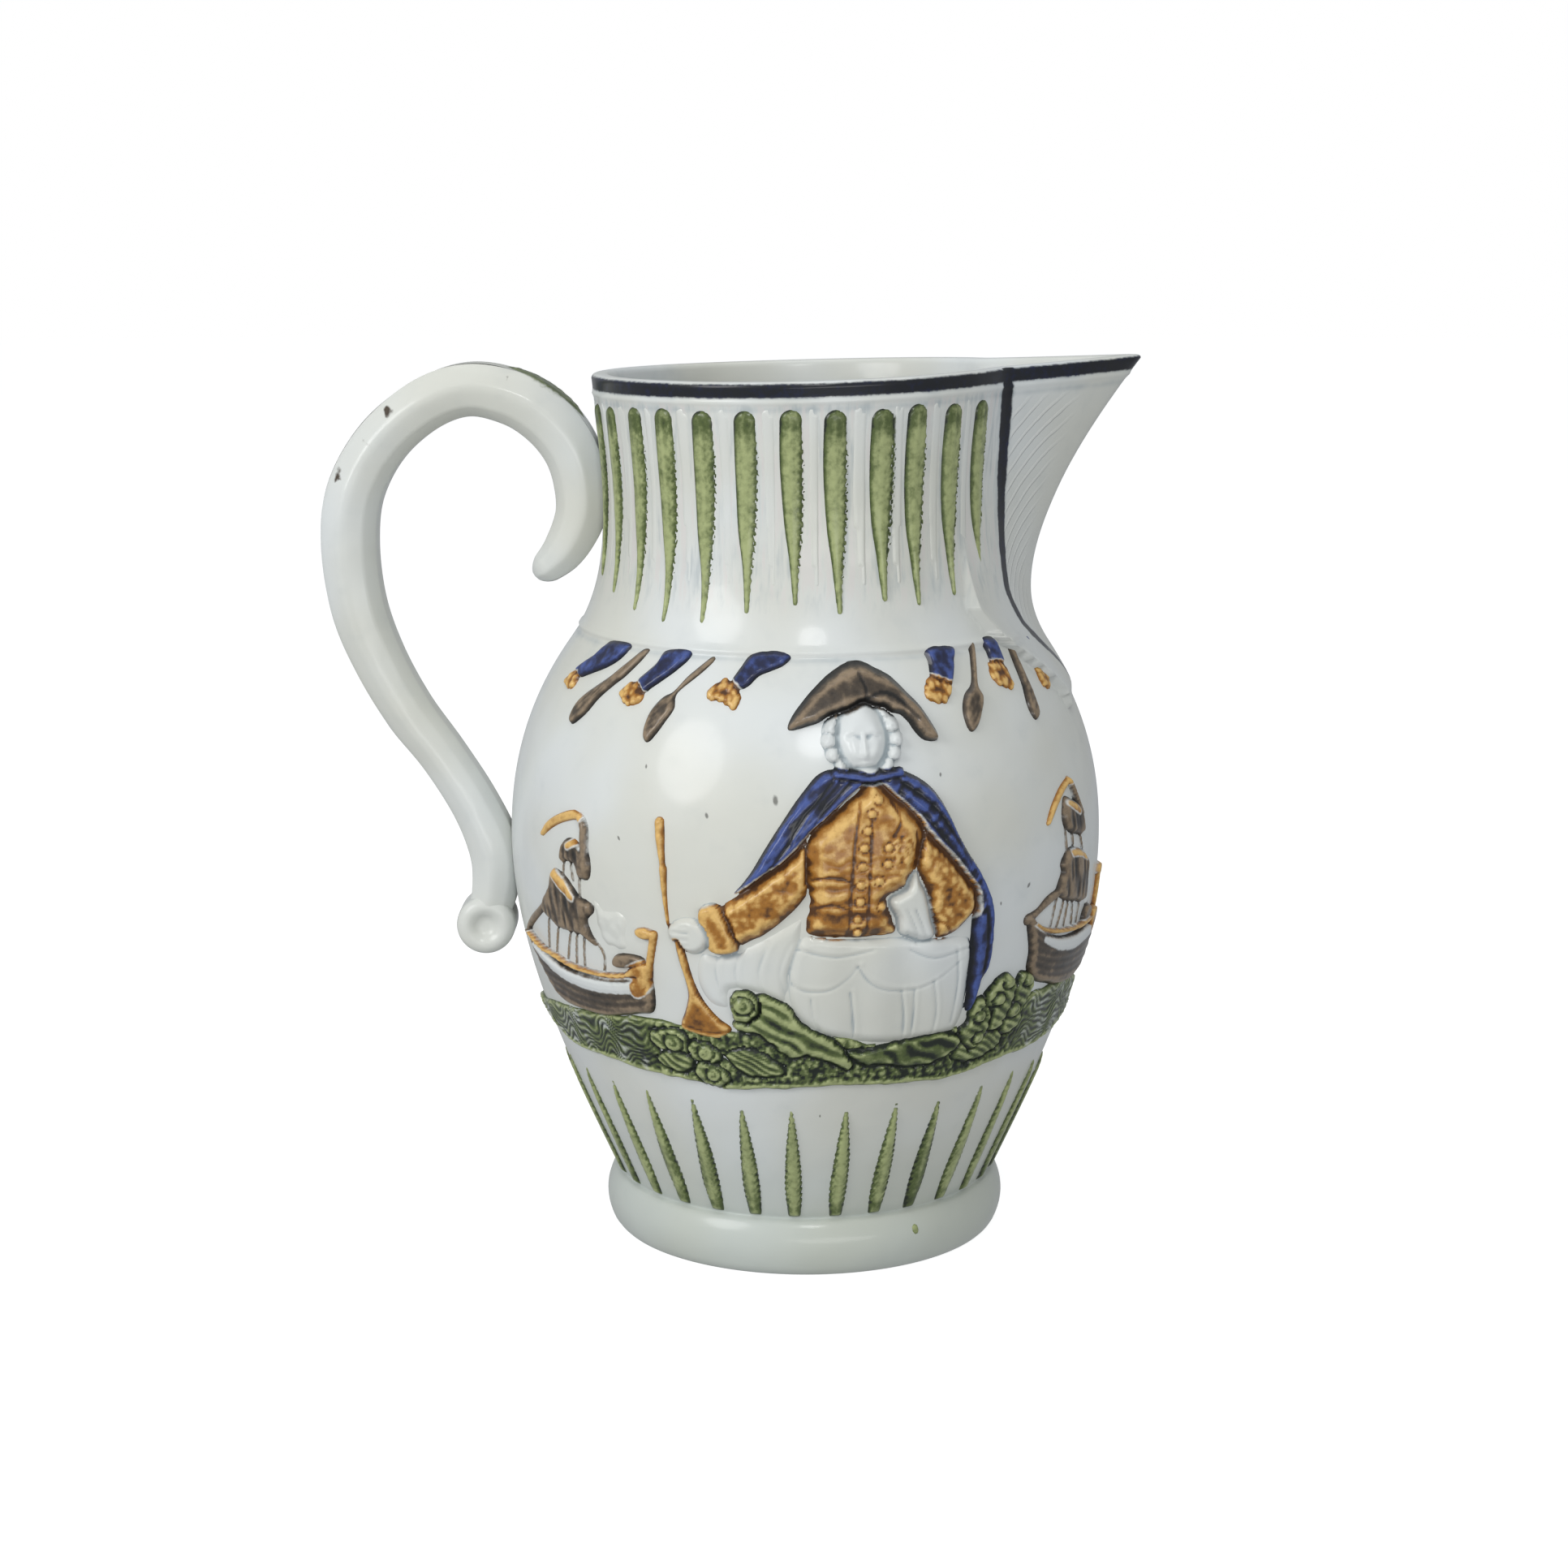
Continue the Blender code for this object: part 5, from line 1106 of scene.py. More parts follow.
officer = {
    "box": (-27.0, 33.5, 43.4, 108.4),
    "cell": 0.3,
    "coarser": 1.3,
    # how high each part stands, how wide its rounded edge is, and how far it is cut free of what lies under it
    "lifts": {
        "skirt": (0.5, 2.2, 0.0), "breeches": (0.72, 2.4, 0.0), "cloakLeft": (1.75, 1.2, 0.6),
        "cloakRight": (1.7, 1.2, 0.6), "leftSleeve": (1.85, 2.2, 0.75), "rightSleeve": (1.85, 2.2, 0.75),
        "coat": (1.95, 2.8, 0.75), "leftCuff": (2.1, 0.9, 0.5), "hand": (1.3, 1.4, 0.5),
        "hipHand": (1.75, 1.6, 0.8), "trumpet": (1.0, 1.1, 0.6), "wig": (1.25, 1.5, 0.5), "hat": (2.1, 1.7, 0.85),
    },
    "skirt": ((-17.4, 60.6), (-14.4, 60.8), (-11.6, 61.4), (-7.0, 64.0), (-3.2, 66.4), (-0.6, 67.6), (-0.8, 63.0),
              (-2.6, 57.4), (-3.4, 52.4), (-8.0, 53.8), (-12.4, 54.2), (-12.9, 51.0), (-16.4, 51.6), (-18.4, 55.8)),
    "breeches": ((-1.0, 64.4), (7.0, 64.2), (14.6, 64.0), (20.7, 63.4), (27.9, 62.0), (28.2, 54.5), (28.2, 49.4),
                 (26.8, 45.6), (22.7, 44.8), (15.0, 44.4), (6.3, 45.4), (0.8, 47.4), (-2.6, 50.8), (-3.4, 57.0)),
    "cloakLeft": ((10.6, 90.0), (7.6, 90.9), (5.5, 91.0), (3.2, 90.8), (1.4, 89.9), (-0.2, 88.1), (-2.1, 85.6),
                  (-4.1, 82.5), (-5.9, 79.6), (-7.1, 77.5), (-8.6, 74.8), (-10.1, 72.6), (-11.4, 71.0), (-9.5, 71.6),
                  (-6.7, 73.8), (-4.2, 75.4), (-1.7, 77.8), (0.3, 80.2), (2.1, 82.2), (4.7, 84.7), (7.4, 87.2),
                  (9.9, 89.1)),
    "cloakRight": ((10.0, 90.0), (12.5, 90.9), (15.0, 90.6), (17.6, 89.6), (20.0, 88.0), (21.8, 85.8), (23.3, 83.0),
                   (24.8, 79.5), (26.5, 76.4), (28.5, 73.2), (30.2, 69.8), (31.2, 66.4), (31.4, 62.8), (31.4, 58.0),
                   (30.4, 54.5), (29.2, 49.4), (28.2, 49.6), (27.9, 54.2), (27.6, 58.5), (27.4, 62.7), (27.4, 65.5),
                   (27.6, 68.2), (27.2, 70.0), (25.2, 72.7), (23.0, 75.6), (20.2, 78.6), (17.6, 81.6), (15.5, 84.4),
                   (13.5, 86.5), (11.0, 88.7)),
    "coat": ((10.2, 89.6), (8.3, 87.9), (5.6, 85.6), (3.0, 83.4), (1.2, 81.8), (0.2, 80.4), (-0.2, 77.6),
             (-0.2, 73.9), (0.2, 71.4), (0.1, 68.7), (-0.3, 65.0), (3.2, 64.0), (7.3, 63.9), (11.0, 64.0),
             (13.9, 64.4), (13.5, 66.9), (12.8, 68.9), (12.5, 70.2), (13.7, 70.8), (15.5, 71.8), (16.5, 73.5),
             (17.3, 75.1), (17.8, 77.4), (18.5, 81.6), (16.0, 84.8), (13.7, 86.9), (11.4, 89.1)),
    "leftSleeve": ((0.8, 80.9), (-1.8, 78.3), (-4.3, 75.9), (-6.8, 74.1), (-10.2, 71.4), (-13.3, 69.3),
                   (-16.8, 67.9), (-17.2, 65.6), (-16.2, 63.4), (-14.7, 61.0), (-11.6, 61.6), (-8.6, 63.3),
                   (-6.8, 64.2), (-4.2, 66.3), (-1.7, 68.8), (-0.4, 70.5), (0.6, 72.2), (1.2, 76.8)),
    "leftCuff": ((-17.0, 68.0), (-14.1, 69.0), (-12.0, 65.4), (-11.0, 61.6), (-14.7, 60.9), (-16.3, 63.4)),
    "rightSleeve": ((17.6, 82.2), (20.5, 79.0), (23.3, 76.0), (25.5, 73.1), (27.5, 70.4), (27.9, 68.2), (27.8, 66.8),
                    (26.4, 65.2), (24.6, 63.7), (22.8, 63.0), (21.0, 62.9), (20.0, 64.0), (19.6, 65.8), (18.8, 67.6),
                    (18.6, 68.9), (18.7, 71.1), (18.2, 72.7), (17.3, 74.2), (16.6, 76.4), (16.8, 79.4)),
    "hipHand": ((16.0, 73.4), (17.1, 74.5), (17.9, 72.6), (18.7, 71.1), (19.2, 69.2), (19.8, 66.4), (20.5, 63.4),
                (18.4, 62.6), (16.2, 63.4), (14.4, 64.4), (13.8, 66.9), (12.9, 68.6), (12.6, 70.0), (13.4, 70.8),
                (15.2, 71.8)),
    "hat": ((-3.4, 97.0), (-3.0, 98.6), (-1.4, 100.7), (0.9, 102.9), (3.7, 105.0), (7.0, 106.6), (9.3, 107.1),
            (11.6, 106.8), (13.8, 105.9), (15.9, 105.0), (17.4, 103.8), (18.7, 102.5), (20.0, 101.2), (21.5, 99.4),
            (22.6, 97.4), (23.4, 95.6), (23.0, 94.7), (21.4, 94.6), (20.0, 95.2), (18.9, 96.5), (18.1, 97.8),
            (16.9, 98.9), (15.1, 99.4), (13.9, 100.2), (12.3, 100.4), (10.1, 101.0), (7.9, 100.2), (5.7, 99.6),
            (3.6, 99.0), (2.1, 98.1), (-0.4, 97.4), (-2.0, 97.0)),
    "buttons": ((11.1, 86.4), (9.9, 84.2), (9.2, 81.6), (8.6, 78.9), (8.3, 75.9), (8.0, 72.9), (7.9, 70.2),
                (7.5, 67.4), (7.6, 65.0), (12.4, 78.8), (12.2, 76.2), (10.8, 73.6), (11.3, 69.2)),
    "badge": (14.6, 78.2, 1.9, 2.4),
    "wand": ((-24.3, 81.7, 0.75), (-24.0, 79.0, 0.7), (-23.5, 75.3, 0.4), (-23.3, 73.9, 0.55), (-23.1, 70.4, 0.35),
             (-22.6, 64.8, 0.12)),
    "trumpet": ((-21.5, 62.0), (-20.6, 62.3), (-19.8, 60.0), (-19.2, 57.2), (-18.4, 54.4), (-17.0, 51.6),
                (-15.0, 49.2), (-12.9, 47.6), (-13.7, 46.1), (-15.4, 45.3), (-18.6, 45.6), (-21.8, 46.5),
                (-21.9, 47.9), (-20.9, 50.0), (-20.0, 53.0), (-20.4, 56.2), (-21.0, 58.6)),
    "hand": ((-22.5, 64.8), (-20.3, 66.3), (-17.6, 66.4), (-15.8, 64.6), (-15.6, 62.2), (-17.2, 60.6),
             (-19.0, 60.4), (-21.4, 61.6), (-22.6, 63.0)),
    "head": (9.3, 95.9, 4.5, 5.6),
    "wig": ((3.0, 98.4), (2.3, 95.8), (3.0, 93.2), (4.8, 91.2), (7.0, 90.4), (11.8, 90.3), (14.2, 91.3), (15.9, 93.4),
            (16.4, 96.0), (15.8, 98.6), (12.6, 100.8), (9.4, 101.4), (5.8, 100.4)),
    "curls": ((4.3, 97.4), (3.6, 95.3), (4.3, 93.3), (5.8, 91.6), (14.7, 97.6), (15.3, 95.4), (14.6, 93.3),
              (13.1, 91.5)),
    "neckCloth": (9.6, 90.2, 2.6, 1.0),
    "collar": ((4.6, 90.4, 0.5), (8.0, 89.9, 0.6), (10.3, 89.5, 0.5), (12.6, 90.0, 0.6), (15.4, 90.4, 0.5)),
    # the two full thighs and the fold between them, each with its rise
    "thighs": (
        (((3.6, 62.0, 3.6), (3.0, 55.0, 4.4), (4.2, 48.2, 3.6)), 0.3),
        (((11.6, 61.0, 3.6), (11.8, 54.0, 4.0), (12.0, 47.0, 3.8)), 0.26),
        (((19.6, 61.0, 4.0), (21.4, 54.0, 4.8), (22.4, 47.6, 4.0)), 0.3),
    ),
    "dressFolds": (
        ((-3.2, 57.6), (-1.6, 55.2), (3.0, 54.9), (6.4, 57.0), (8.0, 59.0)),
        ((8.0, 59.0), (9.9, 56.2), (13.0, 54.6), (17.9, 54.4), (22.1, 56.2), (25.6, 58.6)),
        ((6.9, 54.4), (7.5, 50.0), (7.8, 46.4)), ((15.4, 54.2), (16.2, 49.6), (16.4, 45.6)),
        ((17.6, 54.0), (17.9, 49.4), (17.9, 45.8)), ((20.8, 55.4), (21.9, 50.0), (21.8, 45.8)),
        ((-1.4, 62.0), (4.6, 60.8), (10.4, 61.8)), ((16.4, 61.4), (20.6, 59.6), (26.8, 60.6)),
        ((24.6, 60.6), (25.4, 54.6), (25.2, 47.4)), ((0.6, 53.4), (1.0, 50.0), (2.4, 47.0)),
    ),
    "cloakFolds": (
        ((4.0, 89.2), (-0.6, 83.6), (-4.0, 77.8), (-7.4, 73.2)),
        ((7.0, 89.4), (2.6, 84.6), (-1.4, 79.2), (-5.2, 74.6)),
        ((15.0, 89.0), (20.4, 84.6), (24.6, 77.8), (28.4, 70.4), (29.8, 62.0), (29.6, 52.6)),
        ((14.6, 87.2), (19.0, 82.8), (23.2, 77.4), (27.2, 71.8), (28.6, 66.5)),
    ),
    "seams": (
        ((9.9, 84.5), (9.6, 79.0), (9.4, 75.3), (9.2, 70.0), (8.9, 64.6)),
        ((8.2, 86.0), (7.2, 80.0), (6.8, 75.4), (6.5, 71.3), (6.2, 64.6)),
        ((0.4, 68.9), (3.4, 69.8), (6.2, 69.0)), ((0.2, 73.6), (3.2, 74.4), (6.4, 73.6)),
        ((17.0, 81.0), (17.2, 77.4), (15.9, 72.6)), ((0.2, 79.6), (0.0, 74.6), (0.5, 70.4)),
        ((13.2, 86.0), (14.4, 83.0), (13.2, 80.6)),
    ),
}


def raisePart(field, key, pigment, grow=moulding["grow"]):
    # raises one part of the officer and lays its paint on
    form = outline(field, officer[key])
    swell(field, form, *officer["lifts"][key])
    paint(field, form, pigment, grow)
    return form


def addDome(field, across, up, halfWide, halfHigh, rise):
    # adds a soft low dome
    form = oval(field, across, up, halfWide, halfHigh)
    field["height"][form["window"]] += rise * ease(1 - form["share"])


def makeFace(field, plain):
    # eyes at half the head's height, nose to halfway below them, mouth a third of the way down the rest
    x, y, wide, high = officer["head"]
    raisePart(field, "wig", None)
    for curlX, curlY in officer["curls"]:
        curl = oval(field, curlX, curlY, 1.25, 1.15)
        swell(field, curl, 1.65, 1.0, 0.4)
        carve(field, curl, 0.14 * np.cos(curl["share"] * 6.5 - np.arctan2(curl["v"], curl["u"])), 0.0)
    head = oval(field, x, y, wide, high)
    swell(field, head, 2.1, 2.8, 0.7)
    if plain:
        return
    top, chin = y + high, y - high
    eyes = (top + chin) / 2 + 0.1
    nose = (eyes + chin) / 2 + 0.35
    mouth = nose - (nose - chin) / 3
    # each eye socket is painted a little darker as shade, and so is the mouth line further down
    for side in (-1, 1):
        socket = ((x + side * 0.7, eyes + 0.1), (x + side * 1.6, eyes + 0.25), (x + side * 2.6, eyes))
        score(field, socket, 0.62, 0.34, -0.12)
        addDome(field, x + side * 1.62, eyes + 0.02, 0.62, 0.34, 0.24)
        brow = ((x + side * 0.8, eyes + 0.85), (x + side * 1.7, eyes + 1.15), (x + side * 2.8, eyes + 0.75))
        score(field, brow, 0.4, -0.12)
        addDome(field, x + side * 1.9, nose + 0.1, 1.3, 1.2, 0.16)
        addDome(field, x + side * 0.5, nose + 0.1, 0.42, 0.36, 0.12)
    ridge = stroke(field, ((x, eyes + 0.5, 0.45), (x, (eyes + nose) / 2, 0.5), (x, nose + 0.15, 0.75)), 9)
    field["height"][ridge["window"]] += 0.34 * ease(-ridge["signed"] / 0.45)
    score(field, ((x - 1.05, mouth), (x, mouth + 0.06), (x + 1.05, mouth)), 0.3, 0.2, -0.15)
    for drop, size in ((0.38, 0.8), (-0.42, 0.62)):
        addDome(field, x, mouth + drop, size + 0.2, 0.3, 0.14)
    addDome(field, x, chin + 0.8, 1.2, 0.8, 0.18)


def makeOfficer(name, turn, plain):
    field = friezeField(officer, officer["box"], plain)
    a, z = field["across"], field["up"]
    if not plain:
        raisePart(field, "skirt", None)
        for x in (-14.6, -11.4, -7.6, -4.2):
            # each fold is a groove painted darker as shade, with a ridge beside it painted lighter as a highlight
            score(field, ((x + 1.6, 63.0), (x - 0.2, 58.0), (x + 0.7, 53.4)), 0.5, 0.12, -0.15, 0.0)
            score(field, ((x + 2.4, 63.0), (x + 0.6, 58.0), (x + 1.5, 53.4)), 0.5, -0.08, 0.1, 0.0)
    raisePart(field, "breeches", None)
    for spine, lift in officer["thighs"]:
        thigh = stroke(field, spine, 14)
        share = ease(-thigh["signed"] / (0.95 * thigh["half"])) ** 0.9
        kept = field["height"][thigh["window"]] > 0.15
        field["height"][thigh["window"]] += lift * share * kept
    for fold in officer["dressFolds"][:4] if plain else officer["dressFolds"]:
        # each fold is a groove painted darker as shade, with a ridge beside it painted lighter as a highlight
        score(field, fold, 0.42, 0.17, -0.28, 0.2)
        score(field, [(x + 0.6, y + 0.6) for x, y in fold], 0.55, -0.08, 0.1, 0.2)
    # cloak, hanging off both shoulders, with a pale turned edge beside the coat, partly thinner paint and partly
    # painted highlight; its folds are painted lighter on their ridges and darker in their grooves, as highlight and
    # shade
    for key, seed in (("cloakLeft", 21), ("cloakRight", 9)):
        cloak = raisePart(field, key, "blue")
        window = cloak["window"]
        flow = softNoise((a[window] + z[window]) * 0.3, (a[window] - z[window]) * 1.1, 1.1, seed)
        carve(field, cloak, 0.22 * (flow - 0.5), 1.5 * (flow - 0.55) - 0.25)
    for fold in officer["cloakFolds"]:
        score(field, fold, 0.5, 0.32, -0.9, 0.2)
        score(field, [(x + 0.8, y + 0.6) for x, y in fold], 0.5, -0.16, 0.6, 0.2)
    # sleeves, puckered, with folded cuffs; the puckers' hollows and the sleeves' edges are painted darker as shade
    # and their crests lighter as highlights
    for key, grain in (("leftSleeve", 2.6), ("rightSleeve", 1.5)):
        sleeve = raisePart(field, key, "ochre", 0.4)
        window = sleeve["window"]
        pucker = 0.6 * pebbleNoise(a[window], z[window], grain, 31) + 0.4 * pebbleNoise(a[window], z[window], 1.0, 5)
        deep = ease(-sleeve["signed"] / 0.9)
        carve(field, sleeve, -0.3 * pucker * deep, 0.85 - 1.45 * pucker - 0.3 * (1 - deep))
    coat = raisePart(field, "coat", "ochre", 0.4)
    window = coat["window"]
    # the coat is painted darker towards its lower part, and its creases lighter on the ridges and darker in the
    # folds, as highlight and shade; the blots are the paint's own
    lower = ease((74.0 - z[window]) / 8)
    ripple = 0.5 + 0.5 * np.sin(z[window] * 2 * math.pi / 2.1 + 4.5 * softNoise(a[window], z[window], 2.2, 3))
    blot = softNoise(a[window], z[window], 1.3, 22)
    creased = ease((79.5 - z[window]) / 4) * (0.35 + 0.65 * blot)
    creases, blot = (ripple - 0.5) * creased, blot - 0.5
    carve(field, coat, 0.2 * creases + 0.12 * blot, 0.3 - 0.75 * lower + 0.9 * creases + 0.8 * blot)
    for seam in officer["seams"]:
        score(field, seam, 0.42, 0.22, -0.9, 0.6)
    score(field, ((-0.5, 64.3), (6.0, 63.9), (13.8, 64.4)), 0.5, -0.14, 1.1, 0.2)
    cuff = outline(field, officer["leftCuff"])
    swell(field, cuff, *officer["lifts"]["leftCuff"])
    tint(field, cuff, 0.1)
    score(field, ((-13.3, 69.4), (-11.5, 65.4), (-10.4, 61.4)), 0.45, 0.35, -1.0)
    score(field, ((18.9, 67.0), (21.2, 65.8), (23.4, 63.4)), 0.4, 0.25, -0.8, 0.6)
    # hands stay white
    if not plain:
        raisePart(field, "hand", None)
        for step in (61.8, 62.9, 64.0, 65.1):
            score(field, ((-22.6, step + 0.3), (-20.6, step), (-18.8, step + 0.1)), 0.26, 0.22, -0.2)
    raisePart(field, "hipHand", None)
    for off in (0.0, 1.3, 2.6):
        finger = ((14.0 + off, 68.4), (15.2 + off, 65.8), (16.0 + off, 63.6))
        score(field, finger, 0.3, 0.24, -0.2, 0.6)
    # buttons and the badge on the breast; the buttons' domes and the badge's beads are painted light as highlights
    for x, y in officer["buttons"]:
        button = oval(field, x, y, 0.62, 0.62)
        swell(field, button, 2.15, 0.6, 0.2)
        tint(field, button, 1.3, 0.3)
    badge = oval(field, *officer["badge"])
    beads = 1 - pebbleNoise(a[badge["window"]], z[badge["window"]], 0.95, 4)
    carve(field, badge, 0.3 * (beads - 0.3), 2.0 * beads - 0.7)
    # staff of two parts: a ribbed wand above the hand and a trumpet below it; the wand is painted darker, its ribs
    # lighter as highlights
    wand = stroke(field, officer["wand"], 24)
    swell(field, wand, 0.8, 0.7)
    paint(field, wand, "ochre")
    window = wand["window"]
    bands = 0.5 + 0.5 * np.cos(wand["along"] * wand["length"] * 2 * math.pi / 2.6)
    field["height"][window] += (wand["signed"] < 0) * 0.08 * bands
    field["stain"][window] += (wand["signed"] < 0.3) * (0.4 * bands - 0.55)
    trumpet = raisePart(field, "trumpet", "ochre")
    blot = softNoise(a[trumpet["window"]], z[trumpet["window"]], 1.3, 17)
    carve(field, trumpet, 0.0, 1.1 * (blot - 0.5) - 0.35, moulding["footSpread"])
    # a ridge down the trumpet's side is painted light as a highlight, and the groove round its bell darker as shade
    score(field, ((-20.4, 61.0), (-19.8, 57.0), (-18.4, 53.0), (-15.2, 49.0)), 0.34, -0.12, 0.9)
    score(field, ((-21.4, 47.6), (-18.4, 46.9), (-15.6, 46.6), (-13.4, 47.2)), 0.4, 0.2, -0.5)
    makeFace(field, plain)
    neckCloth = oval(field, *officer["neckCloth"])
    swell(field, neckCloth, 1.5, 0.8, 0.4)
    paint(field, neckCloth, None)
    collar = stroke(field, officer["collar"], 14)
    swell(field, collar, 1.9, 0.8, 0.3)
    paint(field, collar, "blue")
    tint(field, collar, -0.4)
    hat = raisePart(field, "hat", "brown")
    window = hat["window"]
    brush = softNoise(a[window] * 1.1 + z[window] * 0.4, z[window] * 0.5 - a[window] * 0.25, 1.0, 41)
    blot = softNoise(a[window], z[window], 3.4, 2)
    # the hat is painted darker towards its edges and lighter in its middle, as shade and highlight, with brush
    # streaks and blots, and its brim lines are grooves painted dark as shade
    middle = ease(-hat["signed"] / 1.7)
    stain = -0.75 + 0.65 * middle + 0.5 * (brush - 0.5) + 0.8 * (blot - 0.5) * middle
    carve(field, hat, 0.1 * (brush - 0.5), stain, moulding["footSpread"])
    score(field, ((11.0, 101.8), (13.6, 102.6), (16.4, 101.6), (19.4, 98.6)), 0.6, 0.22, -0.6, 0.6)
    score(field, ((9.6, 105.6), (10.6, 103.4), (10.4, 101.6)), 0.5, 0.14, -0.5, 0.6)
    makeRelief(name, finishField(field, 0.13), turn)


for side, turn in (("Front", 0.0), ("Back", 180.0)):
    plain = side == "Back"
    makeTassels("tassels" + side, turn, plain)
    makeBank("bank" + side, turn, plain)
    makeShip("leftShip" + side, ships["left"], turn, plain)
    makeShip("rightShip" + side, ships["right"], turn, plain)
    makeOfficer("officer" + side, turn, plain)
print("friezes made")

strap = {
    "thick": 9.6,
    "width": 13.2,
    "reach": 44.2,
    "crown": 148.6,
    "tail": 54.2,
    "bite": 1.0,
    "rows": 470,
    "around": 64,
    "scrollRadius": 5.2,
    # half section as (across, deep): a strap flat on its outer side
    "section": ((0.52, 1.0), (1.0, 0.2), (0.82, -0.6), (0.4, -1.0), (-0.4, -1.0), (-0.82, -0.6), (-1.0, 0.2),
                (-0.52, 1.0)),
    "facets": 0.6,  # how much of the pressed flat facets the glaze leaves
    "noses": (3.0, 2.0),  # lengths over which the curl and the tail close
    "veins": 1.9,
    # the leaf under the thumb: where it starts and ends from the crown's highest point, half width and rise
    "leaf": (4.6, 17.6, 3.9, 0.4),
    # worn dark chips: distance along the strap, place across it and half width
    "chips": ((60.5, 5.0, 0.55), (73.0, 4.6, 0.75), (66.0, 5.4, 0.3), (41.0, 4.8, 0.3)),
}


def strapLine():
    half, reach = strap["thick"] / 2, strap["reach"]
    span = strap["crown"] - strap["tail"]
    beside = half - strap["bite"]
    upper = (
        (beside + 0.160 * reach, 0.655, 0.46), (beside + 0.062 * reach, 0.704, 0.78), (beside, 0.770, 0.92),
        (beside, 0.835, 0.96), (beside + 0.030 * reach, 0.895, 1.0), (0.085 * reach + half, 0.948, 1.02),
        (0.205 * reach + half, 0.985, 1.0), (0.375 * reach + half, 1.0, 0.96),
    )
    points = []
    for out, share, thick in upper:
        z = strap["tail"] + share * span
        points.append((float(wallRadius(z)) + out, z, half * thick))
    loop = (
        (0.69, 0.972, 0.96), (0.86, 0.906, 0.97), (0.972, 0.815, 1.0), (1.0, 0.715, 1.0), (0.973, 0.602, 0.97),
        (0.895, 0.500, 0.92), (0.785, 0.405, 0.88), (0.650, 0.318, 0.83), (0.528, 0.225, 0.84),
    )
    points += [(35.2 + out * reach, strap["tail"] + share * span, half * thick) for out, share, thick in loop]
    joint = float(wallRadius(strap["tail"] + 0.13 * span)) + half * 0.9 - strap["bite"]
    points.append((joint, strap["tail"] + 0.135 * span, half * 0.9))
    points.append((joint + 0.004 * reach, strap["tail"] + 0.060 * span, half * 0.84))
    points.append((joint + 0.036 * reach, strap["tail"] + 0.015 * span, half * 0.76))
    return points


